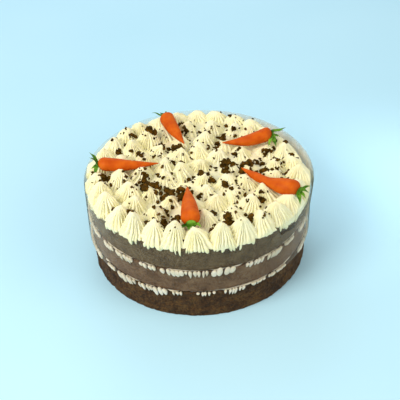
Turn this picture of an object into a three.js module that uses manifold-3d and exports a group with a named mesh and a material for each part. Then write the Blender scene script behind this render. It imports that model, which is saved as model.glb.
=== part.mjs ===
// Carrot cake: three sponge layers with two cream fillings, a topping of piped cream stars,
// five sugar carrots with green tops and a scatter of cake crumbs. A strip of clear film
// stands round the two upper layers. Millimetres, +Z up, origin in the middle of the flat
// base. The front of the cake faces -Y.
import * as THREE from 'three';
import { mergeVertices } from 'three/addons/utils/BufferGeometryUtils.js';
import ManifoldModule from 'manifold-3d';

const wasm = await ManifoldModule();
wasm.setup();

// ---------------------------------------------------------------------------
// Driving dimensions
// ---------------------------------------------------------------------------

const CLEARANCE = 0.3; // gap between pieces that touch

// Heights where one layer ends and the next begins.
const LEVELS = { base: 0, lowerFilling: 28.9, middle: 30.4, upperFilling: 54, top: 55.5, cream: 80 };

const SPONGE = { radius: 102, edge: 0.9, relief: 0.45, sides: 54 };

// Each filling was piped as a ring of stars, whose ridges squeeze out as bunches of short drips.
// A bunch is its clock angle, its span in degrees and its fullness; the front ones come first,
// and the others follow round the cake with a chance span and fullness.
const FILLING = { radius: 102.9, bulge: 1.1, lip: 0.4, drip: 8.5, segments: 120 };
const DRIP_SHARES = { ridge: [0.75, 1], groove: 0.4 }; // reach of a drip and of the dip beside it
const FRONT_BUNCHES = {
  upper: [
    [-52.7, 7.7, 0.6],
    [-40.6, 11.2, 0.65],
    [-26.8, 9.5, 0.4],
    [-13.8, 12.2, 0.75],
    [-1.9, 11.5, 0.9],
    [11.3, 12.1, 1],
    [27.9, 10.8, 0.65],
    [40.1, 10, 0.7],
    [51.1, 8.1, 0.25],
  ],
  lower: [
    [-51.6, 5.1, 0.25],
    [-40.8, 12, 0.9],
    [-28.8, 7.7, 0.75],
    [-20.9, 8.1, 0.95],
    [-12.1, 5, 0.4],
    [2.2, 8.8, 0.3],
    [16.7, 11.2, 0.55],
    [29.3, 8.4, 0.3],
    [41.6, 12.3, 0.25],
  ],
};
const HIDDEN_BUNCHES = { first: 66, step: 12, count: 20, spans: [8, 12], fullness: [0.15, 0.85] };
const FILLING_STREAM = { lower: 41, upper: 43 };

// The film is straight up to the bend, then opens out and leans a little to the right.
const FILM = {
  innerRadius: 104.6,
  thickness: 0.4,
  bottom: 30.6,
  bend: 58,
  top: 85.2,
  flare: 1,
  lean: 1.2,
  sides: 48,
};

const CREAM_BED = { radius: 101, height: 4, sides: 60 };

// Rings of piped stars, from the rim to the middle. Phase is the clock angle of the first.
const STAR_RINGS = [
  { radius: 93, count: 30, phase: -0.8, starRadius: 14.2, kind: 'rim' },
  { radius: 71, count: 20, phase: 6, starRadius: 13.5, kind: 'field' },
  { radius: 50, count: 14, phase: -8, starRadius: 13, kind: 'field' },
  { radius: 30.5, count: 9, phase: 14, starRadius: 13, kind: 'field' },
  { radius: 11, count: 3, phase: 40, starRadius: 12.5, kind: 'field' },
];

// The two kinds of star: ridges, heights of foot and tip above the top sponge, rows as shares of
// the way up, bluntness of the sharpest and the bluntest, the share that the lowest lack, how far
// a star may sit off its place along its ring, as a share of the step, and across it, and how far
// its tip may lean.
const STAR_KINDS = {
  rim: {
    ridges: 7,
    foot: 0,
    tip: 20.6,
    rows: [0, 0.5, 0.84, 1],
    blunt: [0.3, 0.65],
    spread: 0.14,
    jitter: 0.06,
    push: 0,
    lean: 1.6,
  },
  field: {
    ridges: 5,
    foot: 2,
    tip: 19,
    rows: [0, 0.45, 1],
    blunt: [0.1, 0.6],
    spread: 0.44,
    jitter: 0.16,
    push: 3,
    lean: 3.6,
  },
};
const BELL_POWER = 0.45; // the lower, the fuller the sides of a blunt star
const STAR_GROOVE = 0.8; // radius of the grooves as a share of the ridges
const RIDGE_MEAN = 0.93; // mean radius over ridges and grooves as a share of the ridges
const TALLEST_STAR = 1.08; // tallest star as a share of the usual height
const PRESSED_STAR = 0.82; // height that is left of a star under a carrot
const PRESSED_REACH = 3; // stars are pressed this far beside a carrot too
const SKIRT = { drop: 6.5, share: 0.94 }; // how the feet of the rim stars hang over the sponge

// Clock angles between which the rim stars stand further in, where the film is wide, and those
// where the cream is thick: there the stars are wider and hang lower.
const RIM_INSET = { depth: 7, starts: [80, 106], ends: [112, 175], rest: 0.1 };
const THICK_CREAM = { starts: [40, 54], ends: [80, 96], wider: 0.1, lower: 0.7 };
const LOW_BACK = 0.2; // share that the rim stars lose at the sides, and twice that at the back

// Sugar carrots: middle of the blunt end, the tip, sideways bow, largest radius, how late the
// taper starts and how far the middle is squeezed. Each leaf is its yaw from straight out, lift,
// length and width.
const CARROTS = [
  {
    butt: [-91, 1, 98.5],
    tip: [-35, 6, 93],
    bow: 2.6,
    radius: 7,
    fullness: 1.7,
    waist: 0,
    leaves: [[-60, 30, 14, 3], [-30, 40, 9, 3], [25, 5, 7, 3.6], [66, -8, 9, 3.8]],
  },
  {
    butt: [-30, 78.5, 98.5],
    tip: [-11.5, 37, 92],
    bow: 1,
    radius: 7.5,
    fullness: 2.3,
    waist: 0,
    leaves: [[64, 30, 11, 2.8], [20, 24, 6, 3.4], [-25, 30, 5, 3]],
  },
  {
    butt: [71.5, 41, 99.5],
    tip: [24, 35.5, 93],
    bow: -5,
    radius: 7.4,
    fullness: 2,
    waist: 0,
    leaves: [[16, 14, 15, 4.6], [-30, 2, 8, 3.6], [-86, -8, 14, 4.4], [-118, -8, 13, 4]],
  },
  {
    butt: [89, -44.5, 96],
    tip: [40, -5, 93],
    bow: -5,
    radius: 8.7,
    fullness: 1.9,
    waist: 0.36,
    leaves: [[52, 18, 10, 3.6], [18, 10, 8, 4.2], [-15, 0, 9, 4.4], [-45, -12, 11, 4.2]],
  },
  {
    butt: [-6.8, -85, 97],
    tip: [-9.5, -31, 93],
    bow: 0,
    radius: 8.7,
    fullness: 1.8,
    waist: 0,
    leaves: [[-66, -4, 8, 3.8], [-20, -16, 5, 4], [62, 0, 7, 3.8]],
  },
];

// What all carrots share: stations along them as shares of the length, where the blunt end is
// full, how flat they lie, the mix of swell and point in the taper, and where a waist sits.
const CARROT = {
  sides: 12,
  stations: [0, 0.015, 0.06, 0.125, 0.34, 0.5, 0.68, 0.88, 1],
  shoulder: 0.13,
  flatness: 0.92,
  swell: 0.45,
  point: 0.55,
  waistAt: 0.5,
  waistSpan: 0.17,
};

// Green tops: narrow leaves that start on a small cap on the blunt end.
const LEAF = { thickness: 0.9, steps: 2, ripple: 0.06, curl: 0.2, fold: 0.25, spread: 0.35 };
const LEAF_CAP = { share: 0.55, depth: 1.5, sides: 6, drop: 0.25, ahead: 0.6 };
const LEAF_ROOT = 0.2; // how far out of the blunt end the leaves start

// Cake crumbs: middle of each clump as [x, y], its reach, how many lie there and their size.
const CRUMB_CLUMPS = [
  { at: [-47, -24], reach: 8, count: 6, size: 6.6 },
  { at: [-33, -31], reach: 8, count: 7, size: 6.6 },
  { at: [-19, -35], reach: 6, count: 6, size: 6.4 },
  { at: [-83, -7], reach: 5, count: 12, size: 4.8 },
  { at: [-64, -8], reach: 4, count: 3, size: 4 },
  { at: [-49, -10], reach: 3, count: 4, size: 6.3 },
  { at: [45, 2], reach: 6, count: 8, size: 5.6 },
  { at: [63, -1], reach: 4, count: 4, size: 5.6 },
  { at: [25, -71], reach: 2, count: 2, size: 6.6 },
  { at: [43, -74], reach: 3, count: 3, size: 7.4 },
  { at: [-43, 53], reach: 4, count: 5, size: 5.6 },
  { at: [-21, 34], reach: 6, count: 6, size: 5.2 },
  { at: [22, 41], reach: 4, count: 5, size: 5.4 },
  { at: [25, 5], reach: 5, count: 5, size: 5.6 },
  { at: [-13, 62], reach: 5, count: 5, size: 5.8 },
  { at: [66, 30], reach: 7, count: 6, size: 4.2 },
  { at: [12, -15], reach: 1, count: 1, size: 6.6 },
  { at: [56, -44], reach: 1, count: 1, size: 7.2 },
  { at: [40, 28], reach: 6, count: 6, size: 4.8 },
  { at: [-18, -74], reach: 6, count: 6, size: 4.8 },
  { at: [-33, -71], reach: 3, count: 1, size: 4.2 },
  { at: [-45, -73], reach: 3, count: 1, size: 4.2 },
  { at: [-20, -83], reach: 4, count: 3, size: 5.6 },
  { at: [28, -6], reach: 3, count: 2, size: 4.8 },
  { at: [52, -26], reach: 4, count: 4, size: 4.6 },
  { at: [25, -25], reach: 1, count: 1, size: 6 },
  { at: [75, -5], reach: 3, count: 2, size: 4.4 },
  { at: [12, -60], reach: 2, count: 2, size: 4.6 },
  { at: [59, 12], reach: 4, count: 2, size: 4.6 },
  { at: [35, 57], reach: 3, count: 2, size: 4.4 },
  { at: [29, -38], reach: 1, count: 1, size: 4.4 },
  { at: [-60, 57], reach: 4, count: 3, size: 3.8 },
  { at: [-75, 36], reach: 3, count: 2, size: 3.8 },
  { at: [79, -13], reach: 7, count: 4, size: 3.8 },
  { at: [1, -37], reach: 1, count: 1, size: 3.8 },
  { at: [-27, 18], reach: 8, count: 6, size: 4 },
  { at: [-56, 16], reach: 8, count: 5, size: 3.8 },
  { at: [-25, 50], reach: 2, count: 1, size: 4 },
  { at: [38, -56], reach: 7, count: 2, size: 3.2 },
  { at: [84, 12], reach: 6, count: 3, size: 3.2 },
  { at: [-60, -60], reach: 2, count: 2, size: 5 },
  { at: [8, 60], reach: 9, count: 4, size: 3 },
  { at: [36, 84], reach: 7, count: 2, size: 3.2 },
  { at: [-5, -12], reach: 4, count: 2, size: 3.4 },
  { at: [2, -12], reach: 1, count: 1, size: 6.8 },
  { at: [11, -84], reach: 1, count: 1, size: 5 },
  { at: [26, -74], reach: 2, count: 2, size: 6.2 },
  { at: [45, -75], reach: 1, count: 1, size: 6.6 },
  { at: [-33, -72], reach: 3, count: 3, size: 5.4 },
  { at: [-45, -71], reach: 2, count: 2, size: 5.6 },
  { at: [-27, -80], reach: 3, count: 3, size: 5.6 },
];
const CRUMB_CARROT_GAP = 0.4; // crumbs keep this clear of the carrots
const CRUMB_REACH = 98; // crumbs lie within this distance of the middle
const LEAST_CRUMB = 8; // finer crumbs are too small to matter to the form
const CRUMB_SIZES = [0.75, 1.25]; // sizes of the crumbs of a clump as shares of its usual size
const CRUMB_SHAPE = { length: [1, 1.25], thickness: [0.75, 0.95] };
const CRUMB_LIFT = 0.15; // height of a crumb's middle over the cream as a share of its size

const COLOURS = {
  upperSponge: 0x635642,
  lowerSponge: 0x4f3b2a,
  cream: 0xf4eec6,
  filling: 0xe4dcc6,
  carrot: 0xe26615,
  leaf: 0x5f7a1e,
  film: 0xcfd3cc,
};

// ---------------------------------------------------------------------------
// Helpers
// ---------------------------------------------------------------------------

const DEGREE = Math.PI / 180;
const FULL_TURN = 2 * Math.PI;

/** A repeatable number from 0 to 1 for the given index and stream. */
function chance(index, stream) {
  const wave = Math.sin(index * 12.9898 + stream * 78.233) * 43758.5453;
  return wave - Math.floor(wave);
}

/** A repeatable number from -1 to 1. */
const swing = (index, stream) => 2 * chance(index, stream) - 1;

/** Point at a clock angle in degrees: 0 is the front of the cake, 90 its right side. */
function atClock(radius, degrees) {
  return [radius * Math.sin(degrees * DEGREE), -radius * Math.cos(degrees * DEGREE)];
}

/** Which of the equal steps round the axis a point is on, counted from the front. */
function stepOf(point, steps) {
  const turn = Math.atan2(point.x, -point.y) / FULL_TURN;
  return THREE.MathUtils.euclideanModulo(Math.round(turn * steps), steps);
}

/** Height on an outline at a distance from its middle, by straight lines between its points. */
function outlineHeight(outline, distance) {
  for (let i = outline.length - 1; i > 1; i--) {
    const [inner, innerHeight] = outline[i];
    const [outer, outerHeight] = outline[i - 1];
    if (distance <= outer) {
      return THREE.MathUtils.mapLinear(distance, inner, outer, innerHeight, outerHeight);
    }
  }
  return -Infinity;
}

/** Lathe round Z: the profile holds [radius, z] pairs. */
function turned(profile, segments) {
  const points = profile.map(([radius, z]) => new THREE.Vector2(radius, z));
  return new THREE.LatheGeometry(points, segments).rotateX(Math.PI / 2);
}

/** Moves each vertex of a geometry to what the given function returns for it. */
function reshape(geometry, move) {
  const position = geometry.attributes.position;
  const point = new THREE.Vector3();
  for (let i = 0; i < position.count; i++) {
    const moved = move(point.fromBufferAttribute(position, i));
    position.setXYZ(i, moved.x, moved.y, moved.z);
  }
  return geometry;
}

/** Geometry as a solid for joining and cutting. */
function solid(geometry) {
  const bare = geometry.clone();
  bare.deleteAttribute('normal');
  bare.deleteAttribute('uv');
  const merged = mergeVertices(bare, 1e-3);
  const corners = merged.index.array;
  const kept = [];
  for (let i = 0; i < corners.length; i += 3) {
    const [a, b, c] = [corners[i], corners[i + 1], corners[i + 2]];
    if (a !== b && b !== c && c !== a) kept.push(a, b, c);
  }
  const vertProperties = new Float32Array(merged.attributes.position.array);
  return new wasm.Manifold(new wasm.Mesh({ numProp: 3, vertProperties, triVerts: new Uint32Array(kept) }));
}

/** The largest body of a solid, without loose scraps. */
function largestBody(joined) {
  const bodies = joined.decompose();
  return bodies.reduce((best, body) => (body.volume() > best.volume() ? body : best));
}

/** Named mesh of a solid. */
function part(name, body, material) {
  const { vertProperties, triVerts } = body.getMesh();
  const geometry = new THREE.BufferGeometry();
  geometry.setAttribute('position', new THREE.BufferAttribute(vertProperties, 3));
  geometry.setIndex(new THREE.BufferAttribute(triVerts, 1));
  geometry.computeVertexNormals();
  const mesh = new THREE.Mesh(geometry, material);
  mesh.name = name;
  return mesh;
}

// ---------------------------------------------------------------------------
// Sponge layers
// ---------------------------------------------------------------------------

/** Unevenness of a baked side, from -1 to 1, that closes on itself round the cake. */
function spongeWave(angle, z) {
  const broad = Math.sin(7 * angle + 0.13 * z);
  const medium = Math.sin(19 * angle - 0.31 * z);
  const fine = Math.sin(29 * angle + 0.47 * z);
  return 0.4 * broad + 0.35 * medium + 0.25 * fine;
}

/** One sponge disc with softened edges and an uneven side. */
function spongeLayer(bottom, top) {
  const { radius, edge, relief, sides } = SPONGE;
  const shoulder = (top - bottom) / 4;
  const profile = [
    [0, bottom],
    [radius - edge, bottom],
    [radius, bottom + shoulder],
    [radius, top - shoulder],
    [radius - edge, top],
    [0, top],
  ];
  return reshape(turned(profile, sides), (p) => {
    const reach = Math.hypot(p.x, p.y);
    if (reach < radius / 2) return p;
    const grown = (reach + relief * (spongeWave(Math.atan2(p.y, p.x), p.z) - 1)) / reach;
    return p.set(p.x * grown, p.y * grown, p.z);
  });
}

// ---------------------------------------------------------------------------
// Cream fillings
// ---------------------------------------------------------------------------

/** Bunches of drips of a filling, each as clock angle, span and fullness. */
function listBunches(which) {
  const { first, step, count, spans, fullness } = HIDDEN_BUNCHES;
  const stream = FILLING_STREAM[which];
  const bunches = [...FRONT_BUNCHES[which]];
  for (let i = 0; i < count; i++) {
    const span = THREE.MathUtils.lerp(...spans, chance(i, stream));
    bunches.push([first + step * i, span, THREE.MathUtils.lerp(...fullness, chance(i, stream + 1))]);
  }
  return bunches;
}

/** How far each segment of a filling drips over the layer below, as a share of the longest. */
function listDrips(which) {
  const { segments } = FILLING;
  const drips = new Array(segments).fill(0);
  for (const [middle, span, fullness] of listBunches(which)) {
    drips.forEach((drop, segment) => {
      const away = THREE.MathUtils.euclideanModulo((360 * segment) / segments - middle + 180, 360) - 180;
      const swell = Math.sqrt(Math.max(0, 1 - ((2 * away) / span) ** 2));
      const isRidge = segment % 2 === 1;
      const luck = chance(segment, FILLING_STREAM[which] + 2);
      const share = isRidge ? THREE.MathUtils.lerp(...DRIP_SHARES.ridge, luck) : DRIP_SHARES.groove;
      drips[segment] = Math.max(drop, fullness * swell * share);
    });
  }
  return drips;
}

/** Filling: a disc between two sponges whose rim swells and drips in ridges. */
function filling(bottom, top, which) {
  const { radius, bulge, lip, drip, segments } = FILLING;
  const inner = SPONGE.radius + CLEARANCE;
  const drips = listDrips(which);
  const profile = [[0, bottom], [inner, bottom], [radius, bottom - lip], [radius, top], [0, top]];
  return reshape(turned(profile, segments), (p) => {
    const reach = Math.hypot(p.x, p.y);
    const share = drips[stepOf(p, segments)];
    const swell = reach > inner + CLEARANCE ? bulge * share : 0;
    const grown = reach > 0 ? (reach + swell) / reach : 1;
    const lowered = p.z < bottom - lip / 2 ? p.z - drip * share : p.z;
    return p.set(p.x * grown, p.y * grown, lowered);
  });
}

// ---------------------------------------------------------------------------
// Sugar carrots and their green tops
// ---------------------------------------------------------------------------

/** Radius of a carrot from its blunt end (0) to its tip (1), as a share of the largest. */
function carrotShare(t, { fullness, waist }) {
  const { shoulder, swell, point, waistAt, waistSpan } = CARROT;
  const cap = Math.min(1, t / shoulder);
  const round = Math.sqrt(1 - (1 - cap) ** 2);
  const full = (1 + Math.cos(Math.PI * t ** fullness)) / 2;
  const taper = THREE.MathUtils.lerp((1 - t) ** point, full, swell);
  const squeeze = waist * Math.exp(-(((t - waistAt) / waistSpan) ** 2));
  return round * taper * (1 - squeeze);
}

/** Directions of a carrot: forward to the tip, side level to the right of it, and up. */
function carrotFrame({ butt, tip }) {
  const start = new THREE.Vector3(...butt);
  const end = new THREE.Vector3(...tip);
  const forward = end.clone().sub(start).normalize();
  const side = new THREE.Vector3(forward.y, -forward.x, 0).normalize();
  const up = side.clone().cross(forward);
  return { start, end, forward, side, up };
}

/** Carrot as a bent tapered lathe, grown all round by the given amount. */
function carrotBody(carrot, grow = 0) {
  const { start, end, forward, side, up } = carrotFrame(carrot);
  const length = start.distanceTo(end) + 2 * grow;
  const profile = CARROT.stations.map((t) => {
    const isPole = t === 0 || t === 1;
    return [isPole ? 0 : carrot.radius * carrotShare(t, carrot) + grow, t];
  });
  return reshape(turned(profile, CARROT.sides), (p) => {
    const t = p.z;
    return start
      .clone()
      .addScaledVector(forward, t * length - grow)
      .addScaledVector(side, carrot.bow * Math.sin(Math.PI * t) - p.x)
      .addScaledVector(up, p.y * CARROT.flatness);
  });
}

/** Closes an open sheet into a thin solid, with both faces split into triangles alike. */
function thicken(sheet, thickness) {
  const top = sheet.attributes.position;
  const corners = Array.from(sheet.index.array);
  const count = top.count;
  const positions = [...top.array];
  for (let i = 0; i < count; i++) {
    positions.push(top.getX(i), top.getY(i), top.getZ(i) - thickness);
  }
  const faces = [...corners];
  const edges = new Map();
  for (let i = 0; i < corners.length; i += 3) {
    const [a, b, c] = corners.slice(i, i + 3);
    faces.push(count + a, count + c, count + b);
    for (const [from, to] of [[a, b], [b, c], [c, a]]) edges.set(`${from},${to}`, [from, to]);
  }
  for (const [from, to] of edges.values()) {
    if (!edges.has(`${to},${from}`)) faces.push(from, count + from, to, to, count + from, count + to);
  }
  const closed = new THREE.BufferGeometry();
  closed.setAttribute('position', new THREE.Float32BufferAttribute(positions, 3));
  closed.setIndex(faces);
  return closed;
}

/** One narrow wavy leaf along +X from the origin, curling down to its tip. */
function leafSheet([, , length, width], phase, grow) {
  const plane = new THREE.PlaneGeometry(1, 1, LEAF.steps, 2);
  const sheet = reshape(plane, (p) => {
    const along = p.x + 0.5;
    const outline = 0.3 + 0.7 * Math.sin(Math.PI * Math.min(1, along * 0.62 + 0.3));
    const narrowing = 1 - 0.85 * (Math.max(0, along - 0.45) / 0.55) ** 1.3;
    const half = (width / 2) * outline * narrowing + grow;
    const fold = LEAF.fold * width * Math.abs(2 * p.y) * narrowing;
    const ripple = LEAF.ripple * length * Math.sin(FULL_TURN * (along + phase));
    const curl = -LEAF.curl * length * along * along;
    return p.set(along * (length + grow), 2 * p.y * half, fold + ripple + curl);
  });
  return thicken(sheet, LEAF.thickness + 2 * grow).translate(0, 0, LEAF.thickness / 2 + grow);
}

/** Green top of a carrot as one solid, grown by the given amount. */
function leafTuft(carrot, carrotIndex, grow = 0) {
  const { start, forward, up } = carrotFrame(carrot);
  const low = start.addScaledVector(up, -LEAF_CAP.drop * carrot.radius);
  const heading = Math.atan2(-forward.y, -forward.x);
  const capRadius = carrot.radius * LEAF_CAP.share + grow;
  const cap = new THREE.SphereGeometry(1, LEAF_CAP.sides, 3);
  cap.scale(LEAF_CAP.depth + grow, capRadius, capRadius * CARROT.flatness);
  cap.rotateZ(heading);
  cap.translate(...low.clone().addScaledVector(forward, -LEAF_CAP.ahead));
  let tuft = solid(cap);
  carrot.leaves.forEach((leaf, index) => {
    const [yaw, lift] = leaf;
    const turn = heading + yaw * DEGREE;
    const tilt = lift * DEGREE;
    const direction = new THREE.Vector3(Math.cos(turn), Math.sin(turn), Math.sin(tilt));
    const sideways = direction.clone().addScaledVector(forward, -direction.dot(forward));
    const root = low.clone().addScaledVector(forward, -LEAF_ROOT);
    root.addScaledVector(sideways, LEAF.spread * carrot.radius);
    const sheet = leafSheet(leaf, chance(10 * carrotIndex + index, 32), grow);
    sheet.rotateY(-tilt);
    sheet.rotateZ(turn);
    tuft = tuft.add(solid(sheet.translate(...root)));
  });
  return tuft;
}

// ---------------------------------------------------------------------------
// Cream topping
// ---------------------------------------------------------------------------

/** Distance in plan from a point to the straight line between a carrot's ends. */
function planDistance(x, y, { butt, tip }) {
  const axis = new THREE.Line3(new THREE.Vector3(butt[0], butt[1]), new THREE.Vector3(tip[0], tip[1]));
  const point = new THREE.Vector3(x, y);
  return axis.closestPointToPoint(point, true, new THREE.Vector3()).distanceTo(point);
}

/** Rises from 0 to 1 over the first range of clock angles and falls back over the second. */
function rampUpAndDown(clock, starts, ends) {
  return THREE.MathUtils.smoothstep(clock, ...starts) * (1 - THREE.MathUtils.smoothstep(clock, ...ends));
}

/** How far the rim stars stand further in at a clock angle. */
function rimInset(clock) {
  const { depth, starts, ends, rest } = RIM_INSET;
  const begun = THREE.MathUtils.smoothstep(clock, ...starts);
  return depth * THREE.MathUtils.lerp(rest * begun, 1, rampUpAndDown(clock, starts, ends));
}

/** Every piped star: its place, size, height, bluntness and lean. */
function listStars() {
  const stars = [];
  for (const ring of STAR_RINGS) {
    const isRim = ring.kind === 'rim';
    const { blunt, spread, jitter, push, lean } = STAR_KINDS[ring.kind];
    for (let i = 0; i < ring.count; i++) {
      const key = stars.length;
      const clock = ring.phase + (360 / ring.count) * (i + jitter * swing(key, 1));
      const reach = ring.radius + push * swing(key, 2) - (isRim ? rimInset(clock) : 0);
      const [x, y] = atClock(reach, clock);
      const isPressed = CARROTS.some((carrot) => {
        return planDistance(x, y, carrot) < carrot.radius + PRESSED_REACH;
      });
      const fall = isRim ? LOW_BACK * (1 - Math.cos(clock * DEGREE)) : 0;
      const thick = isRim ? rampUpAndDown(clock, THICK_CREAM.starts, THICK_CREAM.ends) : 0;
      stars.push({
        ...STAR_KINDS[ring.kind],
        x,
        y,
        radius: ring.starRadius * (1 + THICK_CREAM.wider * thick),
        drop: isRim ? SKIRT.drop * (1 + THICK_CREAM.lower * thick) : 0,
        height: (isPressed ? PRESSED_STAR : 1) * (TALLEST_STAR - spread * chance(key, 3)) * (1 - fall),
        bluntness: THREE.MathUtils.lerp(...blunt, chance(key, 9)),
        lean: [lean * swing(key, 4), lean * swing(key, 5)],
        turn: chance(key, 6),
      });
    }
  }
  return stars;
}

/** Outline of a star as [radius, height], from the middle of its foot up to its tip. */
function starOutline({ radius, foot, tip, height, rows, bluntness, drop }) {
  const sides = rows.map((up) => {
    const share = (1 - bluntness) * (1 - up) + bluntness * (1 - up) ** BELL_POWER;
    return [radius * share, THREE.MathUtils.lerp(foot, tip * height, up)];
  });
  if (drop === 0) return [[0, foot], ...sides];
  return [[0, -drop], [SKIRT.share * radius, -drop], ...sides];
}

/** One piped star: a ridged lathe that narrows to a leaning tip. */
function starBody(star) {
  const steps = 2 * star.ridges;
  const geometry = reshape(turned(starOutline(star), steps), (p) => {
    const share = stepOf(p, steps) % 2 === 0 ? 1 : STAR_GROOVE;
    const bend = Math.max(0, p.z / (star.tip * star.height)) ** 2;
    return p.set(p.x * share + star.lean[0] * bend, p.y * share + star.lean[1] * bend, p.z);
  });
  geometry.rotateZ((star.turn * FULL_TURN) / star.ridges);
  return geometry.translate(star.x, star.y, LEVELS.cream);
}

/** Height of the cream under a point, from the stars that reach it. */
function creamHeight(x, y, stars) {
  let height = CREAM_BED.height;
  for (const star of stars) {
    const distance = Math.hypot(x - star.x, y - star.y) / RIDGE_MEAN;
    height = Math.max(height, outlineHeight(starOutline(star), distance));
  }
  return LEVELS.cream + height;
}

/** Distance in plan from a point to the side of a carrot, which is its radius at that place. */
function carrotGap(x, y, carrot) {
  const { start, end, forward, side } = carrotFrame(carrot);
  const length = start.distanceTo(end);
  const [dx, dy] = [x - start.x, y - start.y];
  const along = (dx * forward.x + dy * forward.y) / (forward.x ** 2 + forward.y ** 2);
  const t = THREE.MathUtils.clamp(along / length, 0, 1);
  const level = dx * side.x + dy * side.y - carrot.bow * Math.sin(Math.PI * t);
  return Math.hypot(level, along - t * length) - carrot.radius * carrotShare(t, carrot);
}

/** Every crumb: its place on the cream and its size. */
function listCrumbs(stars) {
  const crumbs = [];
  let key = 0;
  for (const clump of CRUMB_CLUMPS) {
    for (let i = 0; i < clump.count; i++) {
      key += 1;
      const [dx, dy] = atClock(clump.reach * Math.sqrt(chance(key, 11)), 360 * chance(key, 12));
      const size = clump.size * THREE.MathUtils.lerp(...CRUMB_SIZES, chance(key, 13));
      const [x, y] = [clump.at[0] + dx, clump.at[1] + dy];
      const isBlocked = CARROTS.some((carrot) => {
        return carrotGap(x, y, carrot) < size / 2 + CRUMB_CARROT_GAP;
      });
      const isOnCake = Math.hypot(x, y) < CRUMB_REACH;
      if (isBlocked || !isOnCake || size < LEAST_CRUMB) continue;
      crumbs.push({ x, y, z: creamHeight(x, y, stars) + CRUMB_LIFT * size, size, key });
    }
  }
  return crumbs;
}

/** One crumb: a craggy twenty-sided lump. */
function crumbBody({ x, y, z, size, key }) {
  const lump = new THREE.IcosahedronGeometry(size / 2, 0);
  const length = THREE.MathUtils.lerp(...CRUMB_SHAPE.length, chance(key, 14));
  const thickness = THREE.MathUtils.lerp(...CRUMB_SHAPE.thickness, chance(key, 15));
  lump.scale(length, 1, thickness);
  lump.rotateX(FULL_TURN * chance(key, 16));
  lump.rotateZ(FULL_TURN * chance(key, 17));
  return lump.translate(x, y, z);
}

/** The whole topping: bed, stars and crumbs, kept clear of all that touches it. */
function creamTopping() {
  const { radius, height, sides } = CREAM_BED;
  const [floor, bedTop] = [LEVELS.cream, LEVELS.cream + height];
  const bed = turned([[0, floor], [radius, floor], [radius, bedTop], [0, bedTop]], sides);
  const stars = listStars();
  const pieces = [bed, ...stars.map(starBody), ...listCrumbs(stars).map(crumbBody)].map(solid);
  const heap = wasm.Manifold.union(pieces);
  const reach = FILM.innerRadius - CLEARANCE;
  const [low, high] = [LEVELS.top, 2 * LEVELS.cream];
  const insideFilm = turned([[0, low], [reach, low], [reach, high], [0, high]], FILM.sides);
  const sponge = SPONGE.radius + CLEARANCE;
  const topSponge = turned([[0, low - 1], [sponge, low - 1], [sponge, floor], [0, floor]], 2 * sides);
  let cream = heap.intersect(solid(insideFilm)).subtract(solid(topSponge));
  CARROTS.forEach((carrot, index) => {
    cream = cream.subtract(solid(carrotBody(carrot, CLEARANCE)));
    cream = cream.subtract(leafTuft(carrot, index, CLEARANCE));
  });
  return largestBody(cream);
}

// ---------------------------------------------------------------------------
// Film collar
// ---------------------------------------------------------------------------

/** Strip of clear film standing round the upper layers, opening out above its bend. */
function filmCollar() {
  const { innerRadius, thickness, bottom, bend, top, flare, lean, sides } = FILM;
  const outerRadius = innerRadius + thickness;
  const outside = [[outerRadius, bottom], [outerRadius, bend], [outerRadius, top]];
  const inside = [[innerRadius, top], [innerRadius, bend], [innerRadius, bottom]];
  return reshape(turned([...outside, ...inside, outside[0]], sides), (p) => {
    const reach = Math.hypot(p.x, p.y);
    const opening = Math.max(0, (p.z - bend) / (top - bend));
    const grown = 1 + (opening * (flare + (lean * p.x) / reach)) / reach;
    return p.set(p.x * grown, p.y * grown, p.z);
  });
}

// ---------------------------------------------------------------------------
// Assembly
// ---------------------------------------------------------------------------

const matte = (color, roughness) => new THREE.MeshStandardMaterial({ color, roughness, metalness: 0 });
const upperSponge = matte(COLOURS.upperSponge, 0.9);
const lowerSponge = matte(COLOURS.lowerSponge, 0.85);
const fillingCream = matte(COLOURS.filling, 0.5);
const clearFilm = new THREE.MeshStandardMaterial({
  color: COLOURS.film,
  roughness: 0.1,
  metalness: 0,
  transparent: true,
  opacity: 0.3,
});

const cake = new THREE.Group();
const { base, lowerFilling, middle, upperFilling, top, cream } = LEVELS;
cake.add(part('sponge_bottom', solid(spongeLayer(base, lowerFilling - CLEARANCE)), lowerSponge));
cake.add(part('filling_lower', solid(filling(lowerFilling, middle - CLEARANCE, 'lower')), fillingCream));
cake.add(part('sponge_middle', solid(spongeLayer(middle, upperFilling - CLEARANCE)), upperSponge));
cake.add(part('filling_upper', solid(filling(upperFilling, top - CLEARANCE, 'upper')), fillingCream));
cake.add(part('sponge_top', solid(spongeLayer(top, cream - CLEARANCE)), upperSponge));
cake.add(part('cream_stars', creamTopping(), matte(COLOURS.cream, 0.45)));
CARROTS.forEach((carrot, index) => {
  const number = index + 1;
  const tuft = leafTuft(carrot, index).subtract(solid(carrotBody(carrot, CLEARANCE)));
  cake.add(part(`carrot_${number}`, solid(carrotBody(carrot)), matte(COLOURS.carrot, 0.4)));
  cake.add(part(`carrot_top_${number}`, largestBody(tuft), matte(COLOURS.leaf, 0.45)));
});
cake.add(part('film_collar', solid(filmCollar()), clearFilm));

export default cake;
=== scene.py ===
# %% [markdown]
# # Carrot cake in a film collar
#
# The cake stands on a table and is lit like food in a small studio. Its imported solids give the
# places and sizes. Every visible surface is made anew here, finer than the solids, from the same
# few sizes. Lengths are millimetres in the formulas and become metres when a mesh is made.

import bmesh
import bpy
import numpy as np
from mathutils import Matrix, Vector
from mathutils.bvhtree import BVHTree


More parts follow.
